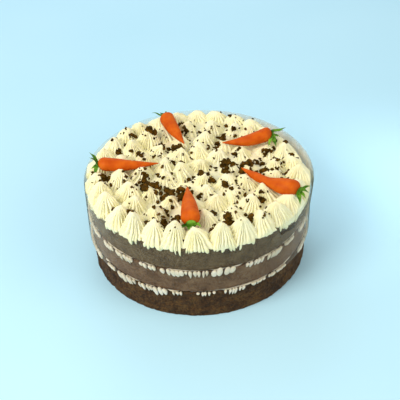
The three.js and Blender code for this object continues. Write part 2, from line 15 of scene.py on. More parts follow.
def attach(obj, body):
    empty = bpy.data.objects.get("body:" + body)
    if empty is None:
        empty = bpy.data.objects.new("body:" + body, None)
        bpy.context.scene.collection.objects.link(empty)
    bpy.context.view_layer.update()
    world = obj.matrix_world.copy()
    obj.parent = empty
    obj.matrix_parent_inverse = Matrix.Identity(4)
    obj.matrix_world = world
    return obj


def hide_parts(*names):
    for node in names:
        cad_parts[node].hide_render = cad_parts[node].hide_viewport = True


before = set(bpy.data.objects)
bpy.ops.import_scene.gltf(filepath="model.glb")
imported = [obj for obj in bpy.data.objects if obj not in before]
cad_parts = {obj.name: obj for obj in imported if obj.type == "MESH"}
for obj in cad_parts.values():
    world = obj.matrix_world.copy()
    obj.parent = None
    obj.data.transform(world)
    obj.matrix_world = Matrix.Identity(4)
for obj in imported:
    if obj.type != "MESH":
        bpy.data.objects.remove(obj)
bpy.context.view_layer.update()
MM = 0.001
TAU = 2 * np.pi
print("frame nodes:", ", ".join(sorted(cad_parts)))

# %% [markdown]
# ## Sizes
#
# These are the same sizes as in the solids. A baker works with few of them: the tin, the heights
# at which the layers meet, the nozzle that piped the stars and the strip of film.

# %% Sizes of the cake
CLEARANCE = 0.3
SPONGE_RADIUS = 102.0
LEVELS = {"base": 0.0, "lower_filling": 28.9, "middle": 30.4, "upper_filling": 54.0,
          "top": 55.5, "cream": 80.0}
FILM_INNER = 104.6
FILM_THICKNESS = 0.4
FILM_BOTTOM = 30.6
FILM_BEND = 58.0
FILM_TOP = 85.2
FILM_FLARE = 0.99
FILM_LEAN = 1.2
BED_HEIGHT = 4.0

STAR_RINGS = [
    {"radius": 93.0, "count": 30, "phase": -0.8, "star_radius": 14.2, "kind": "rim"},
    {"radius": 71.0, "count": 20, "phase": 6.0, "star_radius": 13.5, "kind": "field"},
    {"radius": 50.0, "count": 14, "phase": -8.0, "star_radius": 13.0, "kind": "field"},
    {"radius": 30.5, "count": 9, "phase": 14.0, "star_radius": 13.0, "kind": "field"},
    {"radius": 11.0, "count": 3, "phase": 40.0, "star_radius": 12.5, "kind": "field"},
]
# Height of the tip, least bluntness and its range, and by how much stars differ in height, in
# place along and across the ring, and in lean.
STAR_KINDS = {
    "rim": {"tip": 20.6, "blunt": (0.3, 0.35), "spread": 0.14, "jitter": 0.06, "push": 0.0,
            "lean": 1.6},
    "field": {"tip": 19.0, "blunt": (0.1, 0.5), "spread": 0.44, "jitter": 0.16, "push": 3.0,
              "lean": 3.6},
}
TALLEST_STAR = 1.08
PRESSED_STAR = 0.82
PRESSED_REACH = 3.0
LOW_BACK = 0.2
WIDER_STARS = 0.1
# Clock angles over which the rim stars move in, move out again, get thicker and get thinner again.
RIM_INSET, INSET_FROM, INSET_TO = 7.0, (80, 106), (112, 175)
THICK_FROM, THICK_TO = (40, 54), (80, 96)

CARROTS = [
    {"butt": (-91, 1, 98.5), "tip": (-35, 6, 93), "bow": 2.6,
     "radius": 7.0, "fullness": 1.7, "waist": 0,
     "leaves": [(-60, 30, 14, 3.0), (-30, 40, 9, 3.0), (25, 5, 7, 3.6), (66, -8, 9, 3.8)]},
    {"butt": (-30, 78.5, 98.5), "tip": (-11.5, 37, 92), "bow": 1.0,
     "radius": 7.5, "fullness": 2.3, "waist": 0,
     "leaves": [(64, 30, 11, 2.8), (20, 24, 6, 3.4), (-25, 30, 5, 3.0)]},
    {"butt": (71.5, 41, 99.5), "tip": (24, 35.5, 93), "bow": -5.0,
     "radius": 7.4, "fullness": 2.0, "waist": 0,
     "leaves": [(16, 14, 15, 4.6), (-30, 2, 8, 3.6), (-86, -8, 14, 4.4), (-118, -8, 13, 4.0)]},
    {"butt": (89, -44.5, 96), "tip": (40, -5, 93), "bow": -5.0,
     "radius": 8.7, "fullness": 1.9, "waist": 0.36,
     "leaves": [(52, 18, 10, 3.6), (18, 10, 8, 4.2), (-15, 0, 9, 4.4), (-45, -12, 11, 4.2)]},
    {"butt": (-6.8, -85, 97), "tip": (-9.5, -31, 93), "bow": 0.0,
     "radius": 8.7, "fullness": 1.8, "waist": 0,
     "leaves": [(-66, -4, 8, 3.8), (-20, -16, 5, 4.0), (62, 0, 7, 3.8)]},
]
CARROT_SHOULDER = 0.13
CARROT_FLATNESS = 0.92

# %% [markdown]
# ## Helpers
#
# Repeatable chance keeps the scatter the same on every run. A surface is worked out as a whole
# array of points, and one function turns such a grid into a mesh with its poles closed.

# %% Repeatable chance and smooth noise
INDEX_STEP, STREAM_STEP, WAVE_SIZE = 12.9898, 78.233, 43758.5453
CELL_MIX = np.array([374761393, 668265263, 2147483647])
SEED_MIX, STIR = 974711, 1274126177


def chance(index, stream):
    """Numbers from 0 to 1: the fraction of a large multiple of a sine of index and stream."""
    wave = np.sin(np.asarray(index, float) * INDEX_STEP + stream * STREAM_STEP) * WAVE_SIZE
    return wave - np.floor(wave)


def swing(index, stream):
    """Numbers from -1 to 1."""
    return 2 * chance(index, stream) - 1


def lattice(cells, seed):
    """A number from 0 to 1 for each whole-number cell, by mixing the bits of its coordinates."""
    mixed = (cells.astype(np.int64) * CELL_MIX).sum(-1) + seed * SEED_MIX
    mixed = (mixed ^ (mixed >> 13)) * STIR
    return ((mixed ^ (mixed >> 16)) & 0xFFFFFF) / 0xFFFFFF


def noise(points, cell, seed=0):
    """Smooth noise from -1 to 1: lattice values at the corners of cubes of the given size,
    blended by the smooth step of the place inside the cube."""
    scaled = np.asarray(points, float) / cell
    corner = np.floor(scaled)
    part = scaled - corner
    part = part * part * (3 - 2 * part)
    total = 0.0
    for offset in np.ndindex(2, 2, 2):
        weight = np.prod(np.where(np.array(offset) == 1, part, 1 - part), axis=-1)
        total = total + weight * lattice(corner + np.array(offset), seed)
    return 2 * total - 1


def wobble(points, cell, seed):
    """Smooth noise in all three directions."""
    return np.stack([noise(points, cell, seed + way) for way in range(3)], -1)


def smooth_step(low, high, values):
    """0 below low, 1 above high and a smooth rise between."""
    share = np.clip((values - low) / (high - low), 0, 1)
    return share * share * (3 - 2 * share)


# %% Meshes from arrays
def mesh_piece(name, points, faces, material, smooth=True):
    """An object whose mesh has the given points, in millimetres, and lists of equal-sided faces."""
    mesh = bpy.data.meshes.new(name)
    coordinates = np.asarray(points, np.float32).reshape(-1, 3) * MM
    corners = np.concatenate([np.asarray(group).ravel() for group in faces])
    sides = np.concatenate([np.full(len(group), group.shape[1]) for group in faces])
    mesh.vertices.add(len(coordinates))
    mesh.vertices.foreach_set("co", coordinates.ravel())
    mesh.loops.add(len(corners))
    mesh.loops.foreach_set("vertex_index", corners.astype(np.int32))
    mesh.polygons.add(len(sides))
    mesh.polygons.foreach_set("loop_start", (np.cumsum(sides) - sides).astype(np.int32))
    mesh.polygons.foreach_set("use_smooth", np.full(len(sides), smooth))
    mesh.update(calc_edges=True)
    mesh.validate()
    mesh.materials.append(material)
    piece = bpy.data.objects.new(name, mesh)
    bpy.context.scene.collection.objects.link(piece)
    print(f"{name}: {len(coordinates)} points, {len(sides)} faces")
    return piece


def lathe_faces(rows, columns):
    """Faces of a closed surface: rows of points round an axis, then its first and last pole.
    Columns run anticlockwise seen from the last pole, so the faces point outwards."""
    row = np.arange(rows - 1)[:, None] * columns
    column = np.arange(columns)[None, :]
    after = (column + 1) % columns
    quads = np.stack([row + column, row + after, row + columns + after, row + columns + column], -1)
    ring = np.arange(columns)
    nxt = (ring + 1) % columns
    top = (rows - 1) * columns
    first = np.stack([np.full(columns, rows * columns), nxt, ring], -1)
    last = np.stack([np.full(columns, rows * columns + 1), top + ring, top + nxt], -1)
    return quads.reshape(-1, 4), np.concatenate([first, last])


def closed_piece(name, grids, material, poles=None):
    """One piece of many closed surfaces. The grids are an array (copies, rows, columns, 3), and
    each is closed at two poles, by default the middles of its first and its last ring."""
    copies, rows, columns, _ = grids.shape
    first, last = (grids[:, 0].mean(1), grids[:, -1].mean(1)) if poles is None else poles
    rings = grids.reshape(copies, rows * columns, 3)
    points = np.concatenate([rings, first[:, None], last[:, None]], 1)
    shift = (np.arange(copies) * (rows * columns + 2))[:, None, None]
    quads, triangles = [group + shift for group in lathe_faces(rows, columns)]
    faces = [quads.reshape(-1, 4), triangles.reshape(-1, 3)]
    return mesh_piece(name, points, faces, material)


def full_circle(columns):
    """Evenly spread angles from 0 round to just before a full turn."""
    return TAU * np.arange(columns) / columns


def rotated(first, second, angle):
    """Two coordinates turned by an angle in their plane."""
    c, s = np.cos(angle), np.sin(angle)
    return first * c - second * s, first * s + second * c


def around(reach, angle, z):
    """Points at a distance from the cake's axis, an angle round it and a height."""
    return np.stack(np.broadcast_arrays(reach * np.cos(angle), reach * np.sin(angle), z), -1)


def disc_piece(name, points, bottom, top, material):
    """A round layer from one grid, closed on the cake's axis at its bottom and its top."""
    poles = np.array([[[0, 0, bottom]], [[0, 0, top]]])
    return closed_piece(name, points[None], material, poles)


def dress(piece, slot, *nodes):
    """The piece rides with the cake and stands for the nodes, which are hidden. The slot is not
    used.
    """
    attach(piece, "root")
    if nodes:
        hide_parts(*nodes)
    return piece


# %% [markdown]
# ## Colour and material helpers
#
# Colours are written as sRGB hex, the way a paint chart gives them, and one function turns them
# to the linear values that shaders use. Another adds a node with its settings and its links. The
# last one mixes tones by noise and adds a finer grain, as cream, sugar paste and crumbs need it.

# %% Colour and node helpers
def linear(code):
    """Linear colour of an sRGB hex code."""
    channels = np.array([int(code[i:i + 2], 16) for i in (1, 3, 5)]) / 255
    low = channels / 12.92
    high = ((channels + 0.055) / 1.055) ** 2.4
    return (*np.where(channels <= 0.04045, low, high), 1.0)


MULTIPLY = {"operation": "MULTIPLY"}
MULTIPLY_ADD = {"operation": "MULTIPLY_ADD"}


def node(tree, kind, settings=None, **inputs):
    """A shader node with its settings. Each input, by its name or as i and its number, gets a
    value, the socket that feeds it, or a node whose first output does."""
    made = tree.nodes.new("ShaderNode" + kind)
    for key, value in (settings or {}).items():
        setattr(made, key, value)
    for key, value in inputs.items():
        is_number = key[0] == "i" and key[1:].isdigit()
        socket = made.inputs[int(key[1:]) if is_number else key.replace("_", " ")]
        if isinstance(value, bpy.types.Node):
            value = value.outputs[0]
        if isinstance(value, bpy.types.NodeSocket):
            tree.links.new(value, socket)
        else:
            socket.default_value = value
    return made


def new_material(name):
    """An empty node material, its tree and the object coordinates."""
    material = bpy.data.materials.new(name)
    material.use_nodes = True
    tree = material.node_tree
    tree.nodes.clear()
    return material, tree, node(tree, "TexCoord").outputs["Object"]


def colour_ramp(tree, value, stops):
    """A ramp of sRGB colours, as (place, hex code) pairs, read at value."""
    ramp = node(tree, "ValToRGB", Fac=value)
    elements = ramp.color_ramp.elements
    while len(elements) < len(stops):
        elements.new(0.5)
    for element, (position, code) in zip(elements, stops):
        element.position = position
        element.color = linear(code)
    return ramp


def grain(tree, place, size, detail=2.0, roughness=0.5):
    """Noise whose features are about size millimetres across."""
    return node(tree, "TexNoise", Vector=place, Scale=1 / (size * MM), Detail=detail,
                Roughness=roughness)


# %% A finish that cream, sugar paste and crumbs share
def grained_finish(name, patches, stops, fine, relief, **skin):
    """A material whose colours are mixed by noise patches, with a finer grain as bump. Patches
    and fine are a size with its detail, relief is the bump's strength and depth in millimetres,
    and skin names the shader's other inputs."""
    material, tree, place = new_material(name)
    tone = colour_ramp(tree, grain(tree, place, *patches), stops)
    strength, depth = relief
    bump = node(tree, "Bump", Strength=strength, Distance=depth * MM,
                Height=grain(tree, place, *fine))
    shader = node(tree, "BsdfPrincipled", Base_Color=tone, Normal=bump, **skin)
    node(tree, "OutputMaterial", Surface=shader)
    return material


# %% [markdown]
# ## Camera
#
# The cake is seen from the front and above, from about nine cake radii away. The long lens keeps
# its circles nearly true ellipses.

# %% Camera
CAMERA_PITCH = np.radians(38.4)
CAMERA_ROLL = np.radians(-1.95)
CAMERA_DISTANCE = 896.6
CAMERA_OFFSET = (1.5, 41.2)
LENS_MM = 82.1
SENSOR_MM = 36

forward = Vector((0, np.cos(CAMERA_PITCH), -np.sin(CAMERA_PITCH)))
level_up = Vector((0, np.sin(CAMERA_PITCH), np.cos(CAMERA_PITCH)))
level_right = Vector((1, 0, 0))
camera_right = np.cos(CAMERA_ROLL) * level_right + np.sin(CAMERA_ROLL) * level_up
camera_up = -np.sin(CAMERA_ROLL) * level_right + np.cos(CAMERA_ROLL) * level_up
camera_aim = CAMERA_OFFSET[0] * level_right + CAMERA_OFFSET[1] * level_up
camera_place = (-CAMERA_DISTANCE * forward + camera_aim) * MM

camera_data = bpy.data.cameras.new("studio_camera")
camera_data.lens = LENS_MM
camera_data.sensor_width = SENSOR_MM
camera = bpy.data.objects.new("studio_camera", camera_data)
bpy.context.scene.collection.objects.link(camera)
turn = Matrix((camera_right, camera_up, -forward)).transposed()
camera.matrix_world = Matrix.Translation(camera_place) @ turn.to_4x4()
bpy.context.scene.camera = camera
print("camera at", [round(c, 3) for c in camera_place])

# %% [markdown]
# ## Light and floor
#
# A large soft box at the front left makes the cream bright and leaves soft shadows in its grooves.
# A weaker one on the right opens the shadows, one behind rims the film with light, and a small
# one over the floor lifts the cake's own shadow. The air is a soft warm white, and the floor
# that fills the view is painted pale blue.

# %% Light and floor
def soft_box(name, place, size, power, tint="#FFFFFF", aim=(0, 0, 0.06), spread=180):
    """A square area light that looks at a point, by default the middle of the cake."""
    data = bpy.data.lights.new(name, "AREA")
    data.size = size
    data.energy = power
    data.color = linear(tint)[:3]
    data.spread = np.radians(spread)
    lamp = bpy.data.objects.new(name, data)
    lamp.location = place
    way = Vector(aim) - Vector(place)
    lamp.rotation_euler = way.to_track_quat("-Z", "Y").to_euler()
    bpy.context.scene.collection.objects.link(lamp)


soft_box("key_box", (-0.82, -0.68, 1.0), 0.7, 15.8, "#FFF8EC")
soft_box("fill_box", (1.1, -0.6, 0.8), 0.9, 6.3, "#FFF5E2")
soft_box("back_box", (-0.2, 1.2, 0.9), 0.8, 4.8, "#EAF6FF")
soft_box("floor_box", (0.2, 0.09, 0.42), 0.14, 0.036, aim=(0.2, 0.085, 0), spread=36)

AIR = "#F4F3EF"
AIR_STRENGTH = 0.6
world = bpy.data.worlds.new("pale_air")
world.use_nodes = True
background = world.node_tree.nodes["Background"]
background.inputs["Color"].default_value = linear(AIR)
background.inputs["Strength"].default_value = AIR_STRENGTH
bpy.context.scene.world = world
bpy.context.scene.view_settings.view_transform = "Standard"

FLOOR_REACH = 4000.0
FLOOR_PATCH = 400.0
floor_material, tree, place = new_material("matt_painted_floor")
shade = colour_ramp(tree, grain(tree, place, FLOOR_PATCH), [(0.3, "#B2E0F5"), (0.7, "#BAE5F9")])
paint = node(tree, "BsdfPrincipled", Base_Color=shade, Roughness=0.8)
node(tree, "OutputMaterial", Surface=paint)
corner = FLOOR_REACH * np.array([[-1, -1, 0], [1, -1, 0], [1, 1, 0], [-1, 1, 0]], float)
floor = mesh_piece("floor", corner, [np.array([[0, 1, 2, 3]])], floor_material)

# %% [markdown]
# ## Sponge layers
#
# Carrot sponge is an oil-rich batter. It bakes to a brown, moist crumb with small open pores. The
# layers were cut level, and their sides pressed smooth by tin and film, so the side is a cylinder
# with a slight wander and shallow pits. Displacing a cylinder by noise gives both, while the
# finest pores are left to the material's bump.

# %% Sponge material
CAKE_IOR = 1.45


def sponge_material(name, tones, pore_size, pit_depth, roughness):
    """Baked sponge: tones from dark to light, mixed by patches, crumbs and fine grain. Pores are
    pits between the cells of a crackle pattern."""
    material, tree, place = new_material(name)
    patches = grain(tree, place, 14.0, 2.0)
    crumbs = grain(tree, place, 3.0, 3.0, 0.6)
    fine = grain(tree, place, 1.3, 2.0, 0.6)
    mixed = 0.0
    for layer, share in ((patches, 0.3), (crumbs, 0.35), (fine, 0.35)):
        mixed = node(tree, "Math", MULTIPLY_ADD, i0=layer, i1=share, i2=mixed)
    tone = colour_ramp(tree, mixed, list(zip((0.40, 0.5, 0.60), tones)))
    cells = node(tree, "TexVoronoi", {"feature": "F1"}, Vector=place, Scale=1 / (pore_size * MM))
    pit = node(tree, "MapRange", Value=cells, i1=0.0, i2=0.5, i3=0.0, i4=1.0)
    relief = node(tree, "Math", MULTIPLY_ADD, i0=pit, i1=0.5, i2=fine)
    bump = node(tree, "Bump", Strength=1.0, Distance=pit_depth * MM, Height=relief)
    shader = node(tree, "BsdfPrincipled", Base_Color=tone, Roughness=roughness,
                  Normal=bump, IOR=CAKE_IOR, Specular_IOR_Level=0.25)
    node(tree, "OutputMaterial", Surface=shader)
    return material


TOP_TONES = ("#45382A", "#5C4C37", "#706048")
DAMP_TONES = ("#4E3A2A", "#674E39", "#7C634B")
OPEN_TONES = ("#2C1A0A", "#462F19", "#604422")
top_sponge = sponge_material("pressed_carrot_sponge", TOP_TONES, 2.0, 0.4, 0.75)
damp_sponge = sponge_material("damp_carrot_sponge", DAMP_TONES, 2.0, 0.4, 0.75)
open_sponge = sponge_material("open_carrot_sponge", OPEN_TONES, 2.6, 0.8, 0.8)

# %% Sponge shape
SPONGE_COLUMNS = 900
SPONGE_ROW = 0.75
SPONGE_EDGE = 0.6
SPONGE_WANDER = 0.5
FACE_INSETS = [40, 8]
PIT_SIZE = 2.0
CRUMB_SIZE = 3.4


def sponge_layer(name, bottom, top, material, seed, roughness):
    """A disc whose side is at the radius minus a broad wander and minus pits: both are noise of
    the point on the plain cylinder. Near the top and bottom edge the radius shrinks by a
    quarter circle."""
    height = top - bottom
    side_rows = int(height / SPONGE_ROW)
    lift = np.concatenate([[0, 0], np.linspace(0, height, side_rows), [height, height]])
    inset = np.concatenate([FACE_INSETS, np.zeros(side_rows), FACE_INSETS[::-1]])
    edge = np.minimum(lift, height - lift)
    edge_share = np.clip(1 - edge / SPONGE_EDGE, 0, 1)
    corner_inset = SPONGE_EDGE * (1 - np.sqrt(1 - edge_share**2))
    angle = full_circle(SPONGE_COLUMNS)
    reach = (SPONGE_RADIUS - np.maximum(inset, corner_inset))[:, None]
    points = around(reach, angle, (bottom + lift)[:, None])
    wander = 0.5 * noise(points, 30.0, seed) + 0.3 * noise(points, 9.0, seed + 1) - 0.8
    pits = -np.clip(noise(points, PIT_SIZE, seed + 2) - 0.2, 0, 1) ** 1.2
    crumb = 0.35 * noise(points, CRUMB_SIZE, seed + 3) - 0.35
    change = (SPONGE_WANDER * wander + roughness * (pits + crumb)) * (inset == 0)[:, None]
    points[..., :2] *= ((reach + change) / reach)[..., None]
    return disc_piece(name, points, bottom, top, material)


for name, low, high, material, slot, seed, rough in (
    ("sponge_bottom", "base", "lower_filling", open_sponge, "sponge_lower", 11, 1.4),
    ("sponge_middle", "middle", "upper_filling", damp_sponge, "sponge_upper", 21, 0.6),
    ("sponge_top", "top", "cream", top_sponge, "sponge_upper", 31, 0.6),
):
    bottom, top = LEVELS[low], LEVELS[high] - CLEARANCE
    dress(sponge_layer(f"{name}_crumb", bottom, top, material, seed, rough), slot, name)

# %% [markdown]
# ## Cream
#
# The cream is whipped and pale yellow. It scatters light below its skin, so its shadows stay
# light and warm. Its skin is satin, with a faint grain from the beating.

# %% Cream materials
CREAM = {"patches": (14.0, 2.0), "fine": (0.9, 3.0), "relief": (0.6, 0.4), "IOR": CAKE_IOR,
         "Subsurface_Weight": 0.25, "Subsurface_Radius": (0.9, 0.9, 0.5),
         "Subsurface_Scale": 1.6 * MM}
WHIPPED_TONES = [(0.35, "#F3EDC2"), (0.65, "#F7F3D0")]
# The fillings' cream is smoother, and its darker, greyer tones are painted shade between the layers
# and behind the film.
FILLING_SHADE_TONES = [(0.35, "#D3C8B2"), (0.65, "#E6DECD")]
whipped_cream = grained_finish("whipped_cream", stops=WHIPPED_TONES, Roughness=0.5, **CREAM)
shaded_filling_cream = grained_finish("shaded_filling_cream", stops=FILLING_SHADE_TONES, Roughness=0.4, **CREAM)

# %% [markdown]
# ## Fillings
#
# Each filling was piped as a ring of stars and squashed by the layer above, so bunches of ridges
# ooze out between the layers and hang over the lower one. The film presses them flat. The layer
# itself is a disc. Each ridge is a small closed lump, and one array holds them all, so that every
# ridge has its own width, length and end.

# %% Where the fillings drip
DRIP = 8.5
RIDGE_WIDTH = 3.1
ROUND_WIDTH = 2.4
RIDGE_SLANT = 0.85
FRONT_BUNCHES = {
    "upper": [(-52.7, 7.7, 0.6, 0.6), (-40.6, 11.2, 0.65, 0.4), (-26.8, 9.5, 0.4, 0.5),
              (-13.8, 12.2, 0.75, 0.7), (-1.9, 11.5, 0.9, 0.1), (11.3, 12.1, 1, 1),
              (27.9, 10.8, 0.65, 0.2), (40.1, 10, 0.7, 0.2), (51.1, 8.1, 0.25, 0.2)],
    "lower": [(-51.6, 5.1, 0.25, 0.2), (-40.8, 12, 0.9, 0.3), (-28.8, 7.7, 0.75, 0.2),
              (-20.9, 8.1, 0.95, 0.8), (-12.1, 5, 0.4, 0), (2.2, 8.8, 0.3, 0),
              (16.7, 11.2, 0.55, 0), (29.3, 8.4, 0.3, 0), (41.6, 12.3, 0.25, 0)],
}
FIRST_HIDDEN_BUNCH, BUNCH_STEP, HIDDEN_BUNCHES = 66, 12, 20
LINE_RISE = 1.5
FILLING_STREAM = {"lower": 41, "upper": 43}


def list_bunches(which):
    """Bunches of ridges as clock angle, span, fullness and roundness: the front ones one by one,
    and round the rest of the cake one for each star, by chance."""
    stream = FILLING_STREAM[which]
    number = np.arange(HIDDEN_BUNCHES)
    clock = FIRST_HIDDEN_BUNCH + BUNCH_STEP * number
    hidden = zip(clock, 8 + 4 * chance(number, stream), 0.15 + 0.7 * chance(number, stream + 1),
                 chance(number, stream + 2))
    return FRONT_BUNCHES[which] + list(hidden)


def list_ridges(which):
    """Every ridge as an array row: clock angle, width, hang below the line, rise above it and
    roundness. A bunch is as many ridges as fit its span, and hangs lowest in its middle."""
    stream = FILLING_STREAM[which] + 10
    rows = []
    for number, (middle, span, fullness, roundness) in enumerate(list_bunches(which)):
        pitch = RIDGE_WIDTH + ROUND_WIDTH * roundness
        count = max(2, round(np.radians(span) * SPONGE_RADIUS / pitch))
        key = 40 * number + np.arange(count)
        place = (np.arange(count) + 0.5 + 0.25 * swing(key, stream)) * 2 / count - 1
        swell = np.sqrt(1 - 0.85 * np.abs(place) ** 2.5)
        hang = DRIP * fullness**0.8 * swell * (0.6 + 0.4 * chance(key, stream + 1))
        rise = LINE_RISE + (0.6 + 1.8 * roundness) * fullness * swell * chance(key, stream + 2)
        width = pitch * (0.75 + 0.4 * chance(key, stream + 3)) * (0.7 + 0.3 * swell)
        blunt = np.clip(roundness + 0.3 * swing(key, stream + 4), 0, 1)
        rows.append(np.stack([middle + span / 2 * place, width, hang, rise, blunt], -1))
    return np.concatenate(rows)


# %% Filling shape
FILM_GAP = 0.35
RECESS = 2.0
EDGE_WANDER = 2.6
RIDGE_BED = 0.4
BLUNT_PART = 0.6
RIDGE_LUMPS = 0.18
CREAM_REACH = FILM_INNER - FILM_GAP


def filling_disc(name, bottom, top, which):
    """The layer of cream between two sponges: a disc whose edge stays a little inside them, but
    wanders by noise and comes out in places."""
    columns, rows = 720, 5
    angle = full_circle(columns)
    bulge = 0.5 * np.sin(np.linspace(0, np.pi, rows))[:, None]
    wander = EDGE_WANDER * noise(around(SPONGE_RADIUS, angle, 0.0), 8.0, FILLING_STREAM[which])
    reach = np.minimum(SPONGE_RADIUS - RECESS + wander, SPONGE_RADIUS - CLEARANCE) + bulge
    points = around(reach, angle, np.linspace(bottom, top, rows)[:, None])
    return disc_piece(name, points, bottom, top, shaded_filling_cream)


def filling_ridges(name, line, which, rows=12, columns=14):
    """Every ridge as a closed lump from its lower to its upper end. The half width of a blunt one
    follows an ellipse, that of a sharp one a straight taper under a quarter ellipse. Its section
    is an ellipse between sponge and film, and away from the front it slants."""
    clock, width, hang, rise, blunt = (v[:, None, None] for v in list_ridges(which).T)
    way = np.linspace(0.02, 0.98, rows)[None, :, None]
    turn = full_circle(columns)
    point = np.sqrt(1 - np.clip((way - BLUNT_PART) / (1 - BLUNT_PART), 0, 1) ** 2)
    taper = np.clip(way / BLUNT_PART, 0, 1) ** 0.85 * point
    swell = (1 - blunt) * taper + blunt * np.sqrt(1 - (2 * way - 1) ** 2)
    across = width / 2 * swell * np.sin(turn)
    inner, outer = SPONGE_RADIUS - RIDGE_BED, CREAM_REACH
    depth = (outer - inner) / 2 * swell**0.6
    reach = (inner + outer) / 2 + depth * np.sign(np.cos(turn)) * np.abs(np.cos(turn)) ** 0.7
    height = -hang + (hang + rise) * way
    slant = RIDGE_SLANT * np.sin(np.radians(clock)) * height
    angle = np.radians(clock - 90) + (across + slant) / SPONGE_RADIUS
    points = around(reach, angle, line + height)
    return closed_piece(name, points + RIDGE_LUMPS * wobble(points, 1.6, 44), shaded_filling_cream)


for which, low, high in (("lower", "lower_filling", "middle"), ("upper", "upper_filling", "top")):
    disc = filling_disc(f"filling_{which}_cream", LEVELS[low], LEVELS[high] - CLEARANCE, which)
    ridges = filling_ridges(f"filling_{which}_ridges", LEVELS[low] + 0.6, which)
    for piece in (disc, ridges):
        dress(piece, "filling_cream", f"filling_{which}")

# %% [markdown]
# ## Sugar carrots
#
# Each carrot is rolled from orange sugar paste: a rounded blunt end, a slow taper and a thin
# tail, bent a little by hand, and one has a waist where a finger pressed it. It is a lathe
# carried along a bowed line. The paste has a satin skin, and a knife leaves a few short creases.

# %% Carrot frame and shape
SWELL, POINT = 0.45, 0.55
WAIST_AT, WAIST_SPAN = 0.5, 0.17
CREASES = 9
CREASE_WIDTH, CREASE_DEPTH = 0.55, 0.35
CARROT_LUMPS = 0.12


def carrot_frame(carrot):
    """Start, length and the directions of a carrot: forward to its tip, level side and up."""
    start = np.array(carrot["butt"], float)
    span = np.array(carrot["tip"], float) - start
    length = np.linalg.norm(span)
    ahead = span / length
    side = np.array([ahead[1], -ahead[0], 0.0])
    side /= np.linalg.norm(side)
    return start, length, ahead, side, np.cross(side, ahead)


def carrot_share(t, carrot):
    """Radius from the blunt end, 0, to the tip, 1, as a share of the largest: a quarter circle
    up to the shoulder times a cosine taper, which starts later on a fuller carrot, and a tail. A
    carrot that was squeezed in the middle has a waist there."""
    cap = np.clip(t / CARROT_SHOULDER, 0, 1)
    round_end = np.sqrt(1 - (1 - cap) ** 2)
    swell = SWELL * 0.5 * (1 + np.cos(np.pi * t ** carrot["fullness"]))
    taper = swell + (1 - SWELL) * (1 - t) ** POINT
    return round_end * taper * (1 - carrot["waist"] * np.exp(-(((t - WAIST_AT) / WAIST_SPAN) ** 2)))


def carrot_points(carrot, index, rows=72, columns=72):
    """Grid and poles of a carrot: circles along the bowed line, whose radius creases dip."""
    start, length, ahead, side, up = carrot_frame(carrot)
    t = np.linspace(0, 1, rows + 2)[1:-1] ** 1.3
    angle = full_circle(columns)
    radius = carrot["radius"] * carrot_share(t, carrot)[:, None] * np.ones(columns)
    for crease in range(CREASES):
        key = 20 * index + crease
        at = 0.1 + 0.75 * chance(key, 51)
        facing = TAU * chance(key, 52)
        width = np.exp(-(((t - at) * length / CREASE_WIDTH) ** 2))[:, None]
        arc = np.clip(np.cos(angle - facing) - 0.35, 0, 1)[None, :]
        radius = radius - CREASE_DEPTH * width * arc
    line = start + np.outer(t * length, ahead) + np.outer(carrot["bow"] * np.sin(np.pi * t), side)
    ring_side = radius * np.cos(angle)
    ring_up = radius * np.sin(angle) * CARROT_FLATNESS
    points = line[:, None] - ring_side[..., None] * side + ring_up[..., None] * up
    points = points + CARROT_LUMPS * (noise(points, 5.0, 70 + index)[..., None] - 1.2) * up
    return points, np.array([[carrot["butt"]], [carrot["tip"]]], float)


# %% Carrot material
PASTE = {"patches": (7.0, 3.0), "fine": (0.6, 2.0), "relief": (0.25, 0.15), "IOR": 1.48,
         "Specular_IOR_Level": 0.12, "Subsurface_Weight": 0.08,
         "Subsurface_Radius": (1.0, 0.4, 0.15), "Subsurface_Scale": 0.8 * MM}
ORANGE_TONES = [(0.3, "#BA4A05"), (0.5, "#C7570A"), (0.72, "#D26512")]
GREEN_TONES = [(0.3, "#1A3607"), (0.5, "#447015"), (0.72, "#7EB03C")]
orange_paste = grained_finish("orange_sugar_paste", stops=ORANGE_TONES, Roughness=0.55, **PASTE)
green_paste = grained_finish("green_sugar_paste", stops=GREEN_TONES, Roughness=0.5, **PASTE)

for index, carrot in enumerate(CARROTS):
    grid, poles = carrot_points(carrot, index)
    body = closed_piece(f"carrot_{index + 1}_body", grid[None], orange_paste, poles)
    dress(body, "orange_sugar_paste", f"carrot_{index + 1}")

# %% [markdown]
# ## Green tops
#
# The tops are thin strips cut from green paste and pressed on the blunt end. Each leaf is a
# closed thin strip: its outline narrows to a point, it has a crease along the middle, and it
# curls down under its own weight.

# %% Leaf shape
LEAF_THICKNESS = 0.7
LEAF_FOLD, LEAF_RIPPLE, LEAF_CURL = 0.25, 0.06, 0.2
LEAF_ROOT, ROOT_SPREAD = 0.2, 0.35
CAP_SHARE, CAP_DEPTH, CAP_AHEAD = 0.55, 1.5, 0.6
TOP_DROP = 0.25


def leaf_strip(length, width, phase, rows=28, columns=16):
    """A flat tube along +X: the section is a thin ellipse folded upwards at its edges, its width
    follows the outline, and its middle line ripples and curls down with the square of the way."""
    along = np.linspace(0, 1, rows)
    angle = full_circle(columns)
    outline = (width / 2) * (0.3 + 0.7 * np.sin(np.pi * np.clip(along * 0.62 + 0.3, 0, 1)))
    half = outline * (1 - 0.92 * np.clip((along - 0.45) / 0.55, 0, 1) ** 1.3)
    across = half[:, None] * np.cos(angle)
    thick = (LEAF_THICKNESS / 2) * np.sin(angle) * (0.35 + 0.65 * (1 - along[:, None]))
    fold = LEAF_FOLD * width * np.abs(np.cos(angle)) * (half / half.max())[:, None]
    ripple = LEAF_RIPPLE * length * np.sin(TAU * (along + phase))
    middle = ripple - LEAF_CURL * length * along**2
    x = (along * length)[:, None] * np.ones(columns)
    return np.stack([x, across, thick + fold + middle[:, None]], -1)


